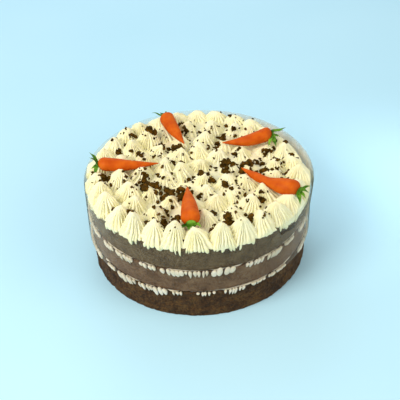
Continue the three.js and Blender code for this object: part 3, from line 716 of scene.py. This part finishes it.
def leaf_cap(radius, rows=28, columns=16):
    """A flattened ball along +X, which joins the leaves on the blunt end."""
    rise = np.radians(np.linspace(-82, 82, rows))
    angle = full_circle(columns)
    ring = radius * np.cos(rise)[:, None]
    x = (CAP_DEPTH * np.sin(rise))[:, None] * np.ones(columns)
    return np.stack([x, ring * np.cos(angle), ring * np.sin(angle) * CARROT_FLATNESS], -1)


def turned(points, lift, heading):
    """Points lifted by an angle about Y, then turned by a heading about Z."""
    x, y, z = np.moveaxis(points, -1, 0)
    x, z = rotated(x, z, lift)
    return np.stack([*rotated(x, y, heading), z], -1)


def leaf_tuft(carrot, index):
    """The leaves of a carrot, each with its yaw from straight out, lift, length and width. They
    start on the blunt end, a little to the side that they point to."""
    start, _, ahead, _, up = carrot_frame(carrot)
    outward = np.arctan2(-ahead[1], -ahead[0])
    cap = turned(leaf_cap(CAP_SHARE * carrot["radius"]), 0, outward)
    low = start - TOP_DROP * carrot["radius"] * up
    grids = [cap + low - CAP_AHEAD * ahead]
    for number, (yaw, lift, length, width) in enumerate(carrot["leaves"]):
        heading = outward + np.radians(yaw)
        tilt = np.radians(lift)
        direction = np.array([np.cos(heading), np.sin(heading), np.sin(tilt)])
        sideways = direction + ahead * (direction @ -ahead)
        root = low - LEAF_ROOT * ahead + ROOT_SPREAD * carrot["radius"] * sideways
        phase = chance(10 * index + number, 32)
        grids.append(turned(leaf_strip(length, width, phase), tilt, heading) + root)
    return np.array(grids)


for index, carrot in enumerate(CARROTS):
    tuft = closed_piece(f"carrot_{index + 1}_leaves", leaf_tuft(carrot, index), green_paste)
    dress(tuft, "green_sugar_paste", f"carrot_top_{index + 1}")

# %% [markdown]
# ## Piped stars
#
# A star nozzle leaves a cone of cream with sharp grooves between soft ridges. The baker stops
# the flow and pulls up, which draws out the leaning tip. One star is a surface of two
# parameters, the angle round it and the height. All stars of a kind are one array, so a ring is
# made in one go. At the rim the ridges slide down between the top layer and the film as teeth,
# longest at the front right, where the cream is thick.

# %% Where the stars are
def at_clock(radius, degrees):
    """Point at a clock angle: 0 is the front of the cake and 90 its right side."""
    turn = np.radians(degrees)
    return radius * np.sin(turn), -radius * np.cos(turn)


def plan_distance(x, y, carrot):
    """Distance in plan from points to the straight line between a carrot's ends."""
    start = np.array(carrot["butt"][:2], float)
    span = np.array(carrot["tip"][:2], float) - start
    share = ((x - start[0]) * span[0] + (y - start[1]) * span[1]) / (span @ span)
    share = np.clip(share, 0, 1)
    return np.hypot(x - start[0] - share * span[0], y - start[1] - share * span[1])


def rim_inset(clock):
    """How far the rim stars stand further in at the back right, where the film stands off."""
    back = 1 - 0.9 * smooth_step(*INSET_TO, clock)
    return RIM_INSET * smooth_step(*INSET_FROM, clock) * back


def thick_cream(clock):
    """1 at the front right, where the rim stars are wider and hang lower, and 0 elsewhere."""
    return smooth_step(*THICK_FROM, clock) * (1 - smooth_step(*THICK_TO, clock))


def list_stars():
    """Every star as a dictionary: its ring's values, place, size, height, lean and turn."""
    stars = []
    for ring in STAR_RINGS:
        kind, is_rim = STAR_KINDS[ring["kind"]], ring["kind"] == "rim"
        least_blunt, blunt_range = kind["blunt"]
        for i in range(ring["count"]):
            key = len(stars)
            clock = ring["phase"] + 360 / ring["count"] * (i + kind["jitter"] * swing(key, 1))
            reach = ring["radius"] + kind["push"] * swing(key, 2) - is_rim * rim_inset(clock)
            x, y = at_clock(reach, clock)
            pressed = any(plan_distance(x, y, c) < c["radius"] + PRESSED_REACH for c in CARROTS)
            height = TALLEST_STAR - kind["spread"] * chance(key, 3)
            height *= PRESSED_STAR if pressed else 1.0
            width = ring["star_radius"]
            if is_rim:
                height *= 1 - LOW_BACK * (1 - np.cos(np.radians(clock)))
                width *= 1 + WIDER_STARS * thick_cream(clock)
            lean_x, lean_y = kind["lean"] * swing(key, 4), kind["lean"] * swing(key, 5)
            stars.append({**ring, "x": x, "y": y, "star_radius": width, "lean_x": lean_x,
                          "lean_y": lean_y, "tip": kind["tip"] * height, "turn": chance(key, 6),
                          "key": key, "bluntness": least_blunt + blunt_range * chance(key, 9)})
    return stars


stars = list_stars()
print(len(stars), "stars")

# %% Shape of the stars
STAR_RIDGES = 21
COLUMNS_PER_RIDGE = 5
STAR_COLUMNS = STAR_RIDGES * COLUMNS_PER_RIDGE
GROOVE_DEPTH, GROOVE_SHARPNESS = 0.27, 2.4
RIDGE_UNEVEN = 0.1
BELL_POWER = 0.45
ROW_POWER = 1.25
TWIST = 0.45
OVAL = 0.09
STAR_LUMPS, STAR_GRAINS = 0.65, 0.38


def of_stars(group, value):
    """One value of each star, as an array that spreads over rows and columns."""
    return np.array([star[value] for star in group], float)[:, None, None]


def sink_below_carrots(points):
    """Cream in the plan of a carrot goes no higher than the carrot's underside."""
    for carrot in CARROTS:
        start, length, ahead, side, _ = carrot_frame(carrot)
        offset = points - start
        t = np.clip(offset @ ahead / length, 0, 1)
        bow = carrot["bow"] * np.sin(np.pi * t)
        level = offset[..., 0] * side[0] + offset[..., 1] * side[1] - bow
        radius = carrot["radius"] * carrot_share(t, carrot) + CLEARANCE
        inside = (np.abs(level) < radius) & (offset @ ahead > -CLEARANCE) & (t < 1)
        depth = np.sqrt(np.clip(radius**2 - level**2, 0, None)) * CARROT_FLATNESS
        underside = start[2] + t * length * ahead[2] - depth
        points[..., 2] = np.where(inside, np.minimum(points[..., 2], underside), points[..., 2])
    return points


def star_grid(group, rows):
    """Surfaces of many stars. The radius falls with the way left to the tip, in a blunt star
    with a root of it, and is less in the grooves. A groove is sharp: its depth falls with the
    power of the distance from it. Ridges are unevenly wide and high, they wind a little, and
    the tip leans with the square of the height."""
    up = (1 - (1 - np.linspace(0, 1, rows)) ** ROW_POWER)[None, :, None]
    place = ((np.arange(STAR_COLUMNS) + 0.5) / COLUMNS_PER_RIDGE)[None, None, :]
    key = of_stars(group, "key")
    base = TAU * place / STAR_RIDGES
    uneven = 0.15 * np.sin(2 * base + TAU * chance(key, 64))
    uneven = uneven + 0.08 * np.sin(5 * base + TAU * chance(key, 65))
    twist = TWIST * swing(key, 61) * up
    angle = base + uneven + twist + TAU * of_stars(group, "turn")
    groove = (2 * np.abs(place - np.round(place))) ** GROOVE_SHARPNESS
    number = key * STAR_RIDGES + np.round(place) % STAR_RIDGES
    ridge_size = 1 + RIDGE_UNEVEN * swing(number, 62) * (1 - groove)
    depth = GROOVE_DEPTH * (0.7 + 0.6 * np.sin(np.pi * up)) * (0.75 + 0.5 * chance(key, 63))
    blunt = of_stars(group, "bluntness")
    cone = (1 - blunt) * (1 - up) + blunt * (1 - up) ** BELL_POWER
    oval = 1 + OVAL * np.sin(2 * angle + TAU * chance(key, 67))
    reach = of_stars(group, "star_radius") * oval
    radius = reach * cone * ridge_size * (1 - depth * groove)
    x = radius * np.cos(angle) + of_stars(group, "lean_x") * up**2
    y = radius * np.sin(angle) + of_stars(group, "lean_y") * up**2
    return x, y, of_stars(group, "tip") * up * np.ones_like(angle), groove


def world_points(group, x, y, z):
    """Points of stars moved to their places on the cake, with lumps by noise of two sizes."""
    x, y = x + of_stars(group, "x"), y + of_stars(group, "y")
    points = np.stack([x, y, z + LEVELS["cream"]], -1)
    return points + STAR_LUMPS * wobble(points, 6.0, 81) + STAR_GRAINS * wobble(points, 1.8, 84)


# %% Field stars
FIELD_FOOT = 2.0
field = [s for s in stars if s["kind"] == "field"]
x, y, z, _ = star_grid(field, rows=19)
points = world_points(field, x, y, z + FIELD_FOOT * (1 - z / z.max()))
field_piece = closed_piece("cream_field_stars", sink_below_carrots(points), whipped_cream)
dress(field_piece, "piped_cream", "cream_stars")

# %% Rim stars
TOOTH_DROP = 6.6
LONG_TEETH = 0.7
TOOTH_THINNING = 0.75
FILM_SKIN = 0.1
TOOTH_STEPS = np.array([1.0, 0.94, 0.8, 0.55, 0.28])
PRESS_SOFTNESS = 0.5


def rim_points(group, rows):
    """Rim stars: bells that the film presses flat on their outer side, by a soft minimum of
    their reach and the film's. There each ridge runs on downwards as a tooth over the edge of
    the sponge, and thins towards its end. At the front right the teeth hang longer."""
    x, y, z, groove = star_grid(group, rows)
    points = world_points(group, x, y, z)
    reach = np.hypot(points[..., 0], points[..., 1])
    excess = (CREAM_REACH - FILM_SKIN - reach) / PRESS_SOFTNESS
    squeeze = (CREAM_REACH - FILM_SKIN - PRESS_SOFTNESS * np.logaddexp(0, excess)) / reach
    over = smooth_step(SPONGE_RADIUS - 0.3, SPONGE_RADIUS + 1.5, reach[:, :1])
    points[..., :2] *= squeeze[..., None]
    number = np.round((np.arange(STAR_COLUMNS) + 0.5) / COLUMNS_PER_RIDGE) % STAR_RIDGES
    uneven = chance(of_stars(group, "key") * STAR_RIDGES + number, 66)
    clock = np.degrees(np.arctan2(points[:, :1, :, 0], -points[:, :1, :, 1]))
    thick = thick_cream(clock)
    apart = 1 - (0.5 - 0.3 * thick) * (1 - uneven) * 2
    apart = apart * (1 - (0.75 - 0.5 * thick) * groove[:, :1])
    drop = 0.1 + TOOTH_DROP * (1 + LONG_TEETH * thick) * over * apart
    steps = TOOTH_STEPS[None, :, None]
    teeth = np.repeat(points[:, :1], len(TOOTH_STEPS), axis=1)
    teeth[..., 2] -= drop * steps
    tooth_reach = np.hypot(teeth[..., 0], teeth[..., 1])
    thinner = np.clip(tooth_reach - SPONGE_RADIUS - 0.5, 0, None) * TOOTH_THINNING * steps**5
    teeth[..., :2] *= (1 - thinner / tooth_reach)[..., None]
    return np.concatenate([teeth, points], 1)


rim = [s for s in stars if s["kind"] == "rim"]
points = sink_below_carrots(rim_points(rim, rows=24))
rim_piece = closed_piece("cream_rim_stars", points, whipped_cream)
dress(rim_piece, "piped_cream", "cream_stars")

# %% Cream bed
BED_RADIUS = 99.0
BED_LUMPS = 0.9


def cream_bed():
    """A low disc under the stars whose top is uneven by noise."""
    columns, rows = 240, 40
    bottom, top = LEVELS["cream"] + 0.1, LEVELS["cream"] + BED_HEIGHT
    angle = full_circle(columns)
    reach = np.concatenate([[BED_RADIUS], np.linspace(BED_RADIUS, 4.0, rows)])
    z = np.concatenate([[bottom], np.full(rows, top - 0.4)])
    points = around(reach[:, None], angle, z[:, None])
    points[1:, :, 2] += BED_LUMPS * noise(points[1:], 7.0, 95)
    return disc_piece("cream_bed", sink_below_carrots(points), bottom, top, whipped_cream)


bed = dress(cream_bed(), "piped_cream", "cream_stars")

# %% [markdown]
# ## Crumbs
#
# Trimmed cake is rubbed to crumbs and scattered by hand, so they fall in drifts. Each crumb is a
# craggy lump, from dust to pieces as large as a pea. A ray from above finds the cream under
# each, and the lump sits in it a little. A dense strip of crumbs lies behind the film at the
# front right, along the ends of the teeth. Its near-black tones are painted shade: they stand
# for the deep shade between the cream and the film.

# %% Where the crumbs are
# Middle of each clump, its reach, its number of crumbs and their size.
CRUMB_CLUMPS = np.array([
    (-47, -24, 8, 6, 6.6), (-33, -31, 8, 7, 6.6), (-19, -35, 6, 6, 6.4), (-83, -7, 5, 12, 4.8),
    (-64, -8, 4, 3, 4.0), (-49, -10, 3, 4, 6.3), (45, 2, 6, 8, 5.6), (63, -1, 4, 4, 5.6),
    (25, -71, 2, 2, 6.6), (43, -74, 3, 3, 7.4), (-43, 53, 4, 5, 5.6), (-21, 34, 6, 6, 5.2),
    (22, 41, 4, 5, 5.4), (25, 5, 5, 5, 5.6), (-13, 62, 5, 5, 5.8), (66, 30, 7, 6, 4.2),
    (12, -15, 1, 1, 6.6), (56, -44, 1, 1, 7.2), (40, 28, 6, 6, 4.8), (-18, -74, 6, 6, 4.8),
    (-33, -71, 3, 1, 4.2), (-45, -73, 3, 1, 4.2), (-20, -83, 4, 3, 5.6), (28, -6, 3, 2, 4.8),
    (52, -26, 4, 4, 4.6), (25, -25, 1, 1, 6.0), (75, -5, 3, 2, 4.4), (12, -60, 2, 2, 4.6),
    (59, 12, 4, 2, 4.6), (35, 57, 3, 2, 4.4), (29, -38, 1, 1, 4.4), (-60, 57, 4, 3, 3.8),
    (-75, 36, 3, 2, 3.8), (79, -13, 7, 4, 3.8), (1, -37, 1, 1, 3.8), (-27, 18, 8, 6, 4.0),
    (-56, 16, 8, 5, 3.8), (-25, 50, 2, 1, 4.0), (38, -56, 7, 2, 3.2), (84, 12, 6, 3, 3.2),
    (-60, -60, 2, 2, 5.0), (8, 60, 9, 4, 3.0), (36, 84, 7, 2, 3.2), (-5, -12, 4, 2, 3.4),
    (2, -12, 1, 1, 6.8), (11, -84, 1, 1, 5.0), (26, -74, 2, 2, 6.2), (45, -75, 1, 1, 6.6),
    (-33, -72, 3, 3, 5.4), (-45, -71, 2, 2, 5.6), (-27, -80, 3, 3, 5.6),
])
CRUMB_COUNTS = CRUMB_CLUMPS[:, 3].astype(int)
CRUMB_SIZES = (0.75, 0.5)
LUMP_SHARE, SIDE_LUMP_AT, SIDE_LUMP_SHARES = 0.92, 0.38, (0.3, 0.35)
FINE_COUNT, FINE_REACH, FINE_SIZES, FINENESS = 720, (14, 1.8), (1.2, 2.7), 2.3
CAUGHT_COUNT, CAUGHT_CLOCKS, CAUGHT_SIZES = 150, (44, 34), (1.4, 0.8)
CRUMB_CARROT_GAP = 0.4
CRUMB_REACH = 98


def between(start_and_range, share):
    """The value at a share of a range that is given by its start and its length."""
    start, length = start_and_range
    return start + length * share


def clump_crumbs():
    """Places and sizes of the crumbs in the clumps, each at a chance distance and direction."""
    x, y, reach, _, size = np.repeat(CRUMB_CLUMPS, CRUMB_COUNTS, axis=0).T
    key = np.arange(len(x)) + 1
    dx, dy = at_clock(reach * np.sqrt(chance(key, 11)), 360 * chance(key, 12))
    return x + dx, y + dy, size * between(CRUMB_SIZES, chance(key, 13))


def craggy(x, y, size):
    """Crumbs with two smaller lumps stuck to the side of each, which makes them craggy."""
    key = np.arange(len(x))
    parts = [(x, y, LUMP_SHARE * size)]
    for stream in (121, 124):
        dx, dy = at_clock(SIDE_LUMP_AT * size, 360 * chance(key, stream))
        parts.append((x + dx, y + dy, size * between(SIDE_LUMP_SHARES, chance(key, stream + 1))))
    return [np.concatenate(values) for values in zip(*parts)]


def fine_crumbs():
    """Places and sizes of the finer crumbs: each is near one of the larger ones, picked by
    chance, so that the fuller clumps get more, and all are spread wider than the clumps."""
    key = np.arange(FINE_COUNT)
    clumps = np.repeat(CRUMB_CLUMPS, CRUMB_COUNTS + 1, axis=0)
    x, y, reach, _, _ = clumps[(chance(key, 101) * len(clumps)).astype(int)].T
    dx, dy = at_clock(between(FINE_REACH, reach) * chance(key, 102) ** 0.7, 360 * chance(key, 103))
    return x + dx, y + dy, between(FINE_SIZES, chance(key, 104) ** FINENESS)


def caught_crumbs():
    """Places, heights and sizes of the crumbs behind the film at the front right, packed along the
    ends of the teeth into a dark strip of painted shade under the cream."""
    key = np.arange(CAUGHT_COUNT)
    clock = between(CAUGHT_CLOCKS, chance(key, 132))
    x, y = at_clock(SPONGE_RADIUS + 0.9 + 0.3 * chance(key, 131), clock)
    edge = TOOTH_DROP * (1 + LONG_TEETH * thick_cream(clock))
    z = LEVELS["cream"] - edge - 0.6 + 1.5 * swing(key, 134)
    return x, y, z, between(CAUGHT_SIZES, chance(key, 133))


def carrot_gap(x, y, carrot):
    """Distance in plan from points to the side of a carrot, which is its radius at that place."""
    start, length, ahead, side, _ = carrot_frame(carrot)
    dx, dy = x - start[0], y - start[1]
    along = (dx * ahead[0] + dy * ahead[1]) / (ahead[0] ** 2 + ahead[1] ** 2)
    t = np.clip(along / length, 0, 1)
    level = dx * side[0] + dy * side[1] - carrot["bow"] * np.sin(np.pi * t)
    return np.hypot(level, along - t * length) - carrot["radius"] * carrot_share(t, carrot)


def clear_of_carrots(x, y, size):
    """True for crumbs that lie on the cream and beside the carrots."""
    away = np.hypot(x, y) < CRUMB_REACH
    for carrot in CARROTS:
        away &= carrot_gap(x, y, carrot) > size / 2 + CRUMB_CARROT_GAP
    return away


# %% Crumb shapes
DENT_SIZE, DENT_DEPTH = 0.8, 0.5
CRUMB_LIFT = 0.2
ABOVE_CAKE = 150.0


def cream_tree():
    """Search tree over all cream, for finding its surface under a point."""
    vertices, polygons = [], []
    for piece in (field_piece, rim_piece, bed):
        shift = len(vertices)
        vertices += [v.co.copy() for v in piece.data.vertices]
        polygons += [[shift + i for i in p.vertices] for p in piece.data.polygons]
    return BVHTree.FromPolygons(vertices, polygons)


def unit_lump():
    """Points and triangles of a ball of eighty triangles: a halved icosahedron."""
    ball = bmesh.new()
    bmesh.ops.create_icosphere(ball, subdivisions=2, radius=1.0)
    points = np.array([v.co for v in ball.verts])
    triangles = np.array([[v.index for v in f.verts] for f in ball.faces])
    ball.free()
    return points, triangles


def dropped_on_cream(x, y, size):
    """Crumbs with their heights: a ray from above finds the cream, and each sinks in a little."""
    surface = cream_tree()
    down = Vector((0, 0, -1))
    starts = np.stack([x, y, np.full(len(x), ABOVE_CAKE)], -1) * MM
    hits = [surface.ray_cast(Vector(start), down)[0] for start in starts]
    found = np.array([h is not None for h in hits])
    z = np.array([h.z / MM for h in hits if h is not None])
    return x[found], y[found], z + CRUMB_LIFT * size[found], size[found]


def crumb_lumps(name, x, y, z, size, material):
    """Copies of the ball, each stretched, dented by noise, turned and put in its place."""
    key = np.arange(len(x))
    ball, triangles = unit_lump()
    apart = (key * 7.1)[:, None, None]
    dents = 1.02 + DENT_DEPTH * noise(ball[None] * 1.2 + apart, DENT_SIZE, 111)
    long, thick = 1.05 + 0.4 * chance(key, 14), 0.65 + 0.2 * chance(key, 15)
    stretch = np.stack([long, np.ones(len(key)), thick], -1)
    lumps = ball[None] * dents[..., None] * stretch[:, None] * (size / 2)[:, None, None]
    tip = TAU * chance(key, 16)[:, None]
    yaw = TAU * chance(key, 17)[:, None]
    lx, ly, lz = np.moveaxis(lumps, -1, 0)
    ly, lz = rotated(ly, lz, tip)
    lx, ly = rotated(lx, ly, yaw)
    placed = np.stack([lx + x[:, None], ly + y[:, None], lz + z[:, None]], -1)
    faces = (triangles + (key * len(ball))[:, None, None]).reshape(-1, 3)
    return mesh_piece(name, placed, [faces], material, smooth=False)


# %% Crumb material
CRUMB = {"patches": (3.5, 3.0, 0.6), "fine": (0.7, 3.0), "relief": (0.8, 0.3), "IOR": CAKE_IOR,
         "Specular_IOR_Level": 0.1, "Roughness": 0.85}
TONE_PLACES = (0.3, 0.45, 0.58, 0.7, 0.82)
DRY_TONES = ("#1E1302", "#3E2C06", "#553B09", "#70460D", "#887224")
# Near-black tones for the crumbs behind the film: painted shade.
SHADE_DARK_TONES = ("#1A0F04", "#2A1A08", "#3A240C", "#4A2E10", "#5A3E1A")
dry_crumb = grained_finish("baked_crumb", stops=list(zip(TONE_PLACES, DRY_TONES)), **CRUMB)
shade_dark_crumb = grained_finish("shade_dark_crumb", stops=list(zip(TONE_PLACES, SHADE_DARK_TONES)), **CRUMB)
coarse = craggy(*clump_crumbs())
fine = fine_crumbs()
crumb_x, crumb_y, crumb_size = (np.concatenate(pair) for pair in zip(coarse, fine))
kept = clear_of_carrots(crumb_x, crumb_y, crumb_size)
dropped = dropped_on_cream(crumb_x[kept], crumb_y[kept], crumb_size[kept])
dress(crumb_lumps("cake_crumbs", *dropped, dry_crumb), "cake_crumb", "cream_stars")
# The strip behind the film is drawn dark as painted shade.
caught = crumb_lumps("crumbs_and_painted_shade_behind_film", *caught_crumbs(), shade_dark_crumb)
dress(caught, "cake_crumb", "cream_stars")

# %% [markdown]
# ## Film collar
#
# The collar is a strip of clear film, stood round the cake before it was filled. It mirrors
# more the flatter it is seen. Where it is seen flat, a matt layer adds painted reflection, and
# towards the silhouette that layer turns dark olive as painted shade. Cream has left a veil on
# it above the stars' feet, thickest at the back right. The wall is so thin that light goes
# straight through: a see-through shader mixed with a glossy one does this without bending the
# view. The veil is a matt shader mixed with one that lets light through, as a smear of cream
# does.

# %% Film material
# Axis, where the change starts and ends, and the value there. The rise is a smooth step.
VEIL_CHANGES = {
    "rise": ("Z", FILM_TOP - 19, FILM_TOP - 11, 0.0, 0.85),
    "thinning": ("Z", FILM_TOP - 8, FILM_TOP, 1.0, 0.3),
    "back": ("Y", -50, 20, 0.0, 1.0),
    "right": ("X", 0, 60, 0.35, 1.0),
    "height": ("Z", FILM_TOP - 8, FILM_TOP, 0.0, 1.0),
}
STREAK_STRETCH = (1.0, 1.0, 0.12)


def film_material():
    """Clear film: passes what is behind it and mirrors a little. A matt layer that grows with how
    flat the film is seen is painted reflection, and it darkens to olive towards the silhouette as
    painted shade. At the back a veil of cream is a band in upright streaks, thinner towards the
    film's rim and towards the left."""
    material, tree, place = new_material("clear_polyester_film")
    facing = node(tree, "LayerWeight", Blend=0.5).outputs["Facing"]
    flat = node(tree, "Math", {"operation": "POWER"}, i0=facing, i1=5.0)
    mirror = node(tree, "Math", MULTIPLY_ADD, i0=flat, i1=0.08, i2=0.003)
    clear = node(tree, "BsdfTransparent", Color=linear("#FEFEFD"))
    gloss = node(tree, "BsdfGlossy", Color=linear("#FFFFFF"), Roughness=0.08)
    seen = node(tree, "MixShader", Fac=mirror, i1=clear, i2=gloss)
    parts = node(tree, "SeparateXYZ", Vector=place)
    veil = {}
    for name, (axis, start, end, low, high) in VEIL_CHANGES.items():
        shape = {"interpolation_type": "SMOOTHSTEP" if name == "rise" else "LINEAR"}
        veil[name] = node(tree, "MapRange", shape, Value=parts.outputs[axis],
                          i1=start * MM, i2=end * MM, i3=low, i4=high)
    band = veil["rise"]
    for name in ("thinning", "back", "right"):
        band = node(tree, "Math", MULTIPLY, i0=band, i1=veil[name])
    upright = node(tree, "Mapping", Vector=place, Scale=STREAK_STRETCH)
    streaks = grain(tree, upright, 5.0, 3.0, 0.6)
    cloud = node(tree, "MapRange", Value=streaks, i1=0.35, i2=0.65, i3=0.8, i4=1.15)
    # The share that grows with how flat the film is seen is painted reflection; the band is the
    # cream veil.
    smear_and_painted_reflection = node(tree, "Math", MULTIPLY_ADD, i0=flat, i1=0.5, i2=band)
    haze = node(tree, "Math", {**MULTIPLY, "use_clamp": True}, i0=smear_and_painted_reflection, i1=cloud)
    # Darker olive towards the silhouette: painted shade.
    painted_edge_shade = colour_ramp(tree, flat, [(0.15, "#FFFFFF"), (0.35, "#C8CAC2"), (0.7, "#5F6358")])
    smeared = colour_ramp(tree, veil["height"], [(0.0, "#FFF8E8"), (1.0, "#D2CDBE")])
    tone = node(tree, "VectorMath", MULTIPLY, i0=painted_edge_shade, i1=smeared)
    smear = node(tree, "BsdfDiffuse", Color=tone)
    glow = node(tree, "BsdfTranslucent", Color=tone)
    cream = node(tree, "MixShader", Fac=0.4, i1=smear, i2=glow)
    whole = node(tree, "MixShader", Fac=haze, i1=seen, i2=cream)
    node(tree, "OutputMaterial", Surface=whole)
    return material


# %% Film shape
def film_wall():
    """A closed thin wall: its section runs up the outside, over the rim and down the inside. It
    is straight to the bend, and above it opens out and leans a little to the right."""
    columns, rows = 360, 24
    angle = full_circle(columns)
    z = FILM_BOTTOM + (FILM_TOP - FILM_BOTTOM) * np.linspace(0, 1, rows)
    opening = np.clip((z - FILM_BEND) / (FILM_TOP - FILM_BEND), 0, 1)[:, None]
    inner = FILM_INNER + opening * (FILM_FLARE + FILM_LEAN * np.cos(angle))
    reach = np.concatenate([inner + FILM_THICKNESS, inner[::-1]])
    points = around(reach, angle, np.concatenate([z, z[::-1]])[:, None])
    row = np.arange(2 * rows)[:, None] * columns
    above = (row + columns) % (2 * rows * columns)
    column = np.arange(columns)[None, :]
    after = (column + 1) % columns
    quads = np.stack([row + column, row + after, above + after, above + column], -1)
    faces = quads.reshape(-1, 4)
    return mesh_piece("film_collar_wall", points, [faces], film_material(), smooth=False)


dress(film_wall(), "clear_film", "film_collar")
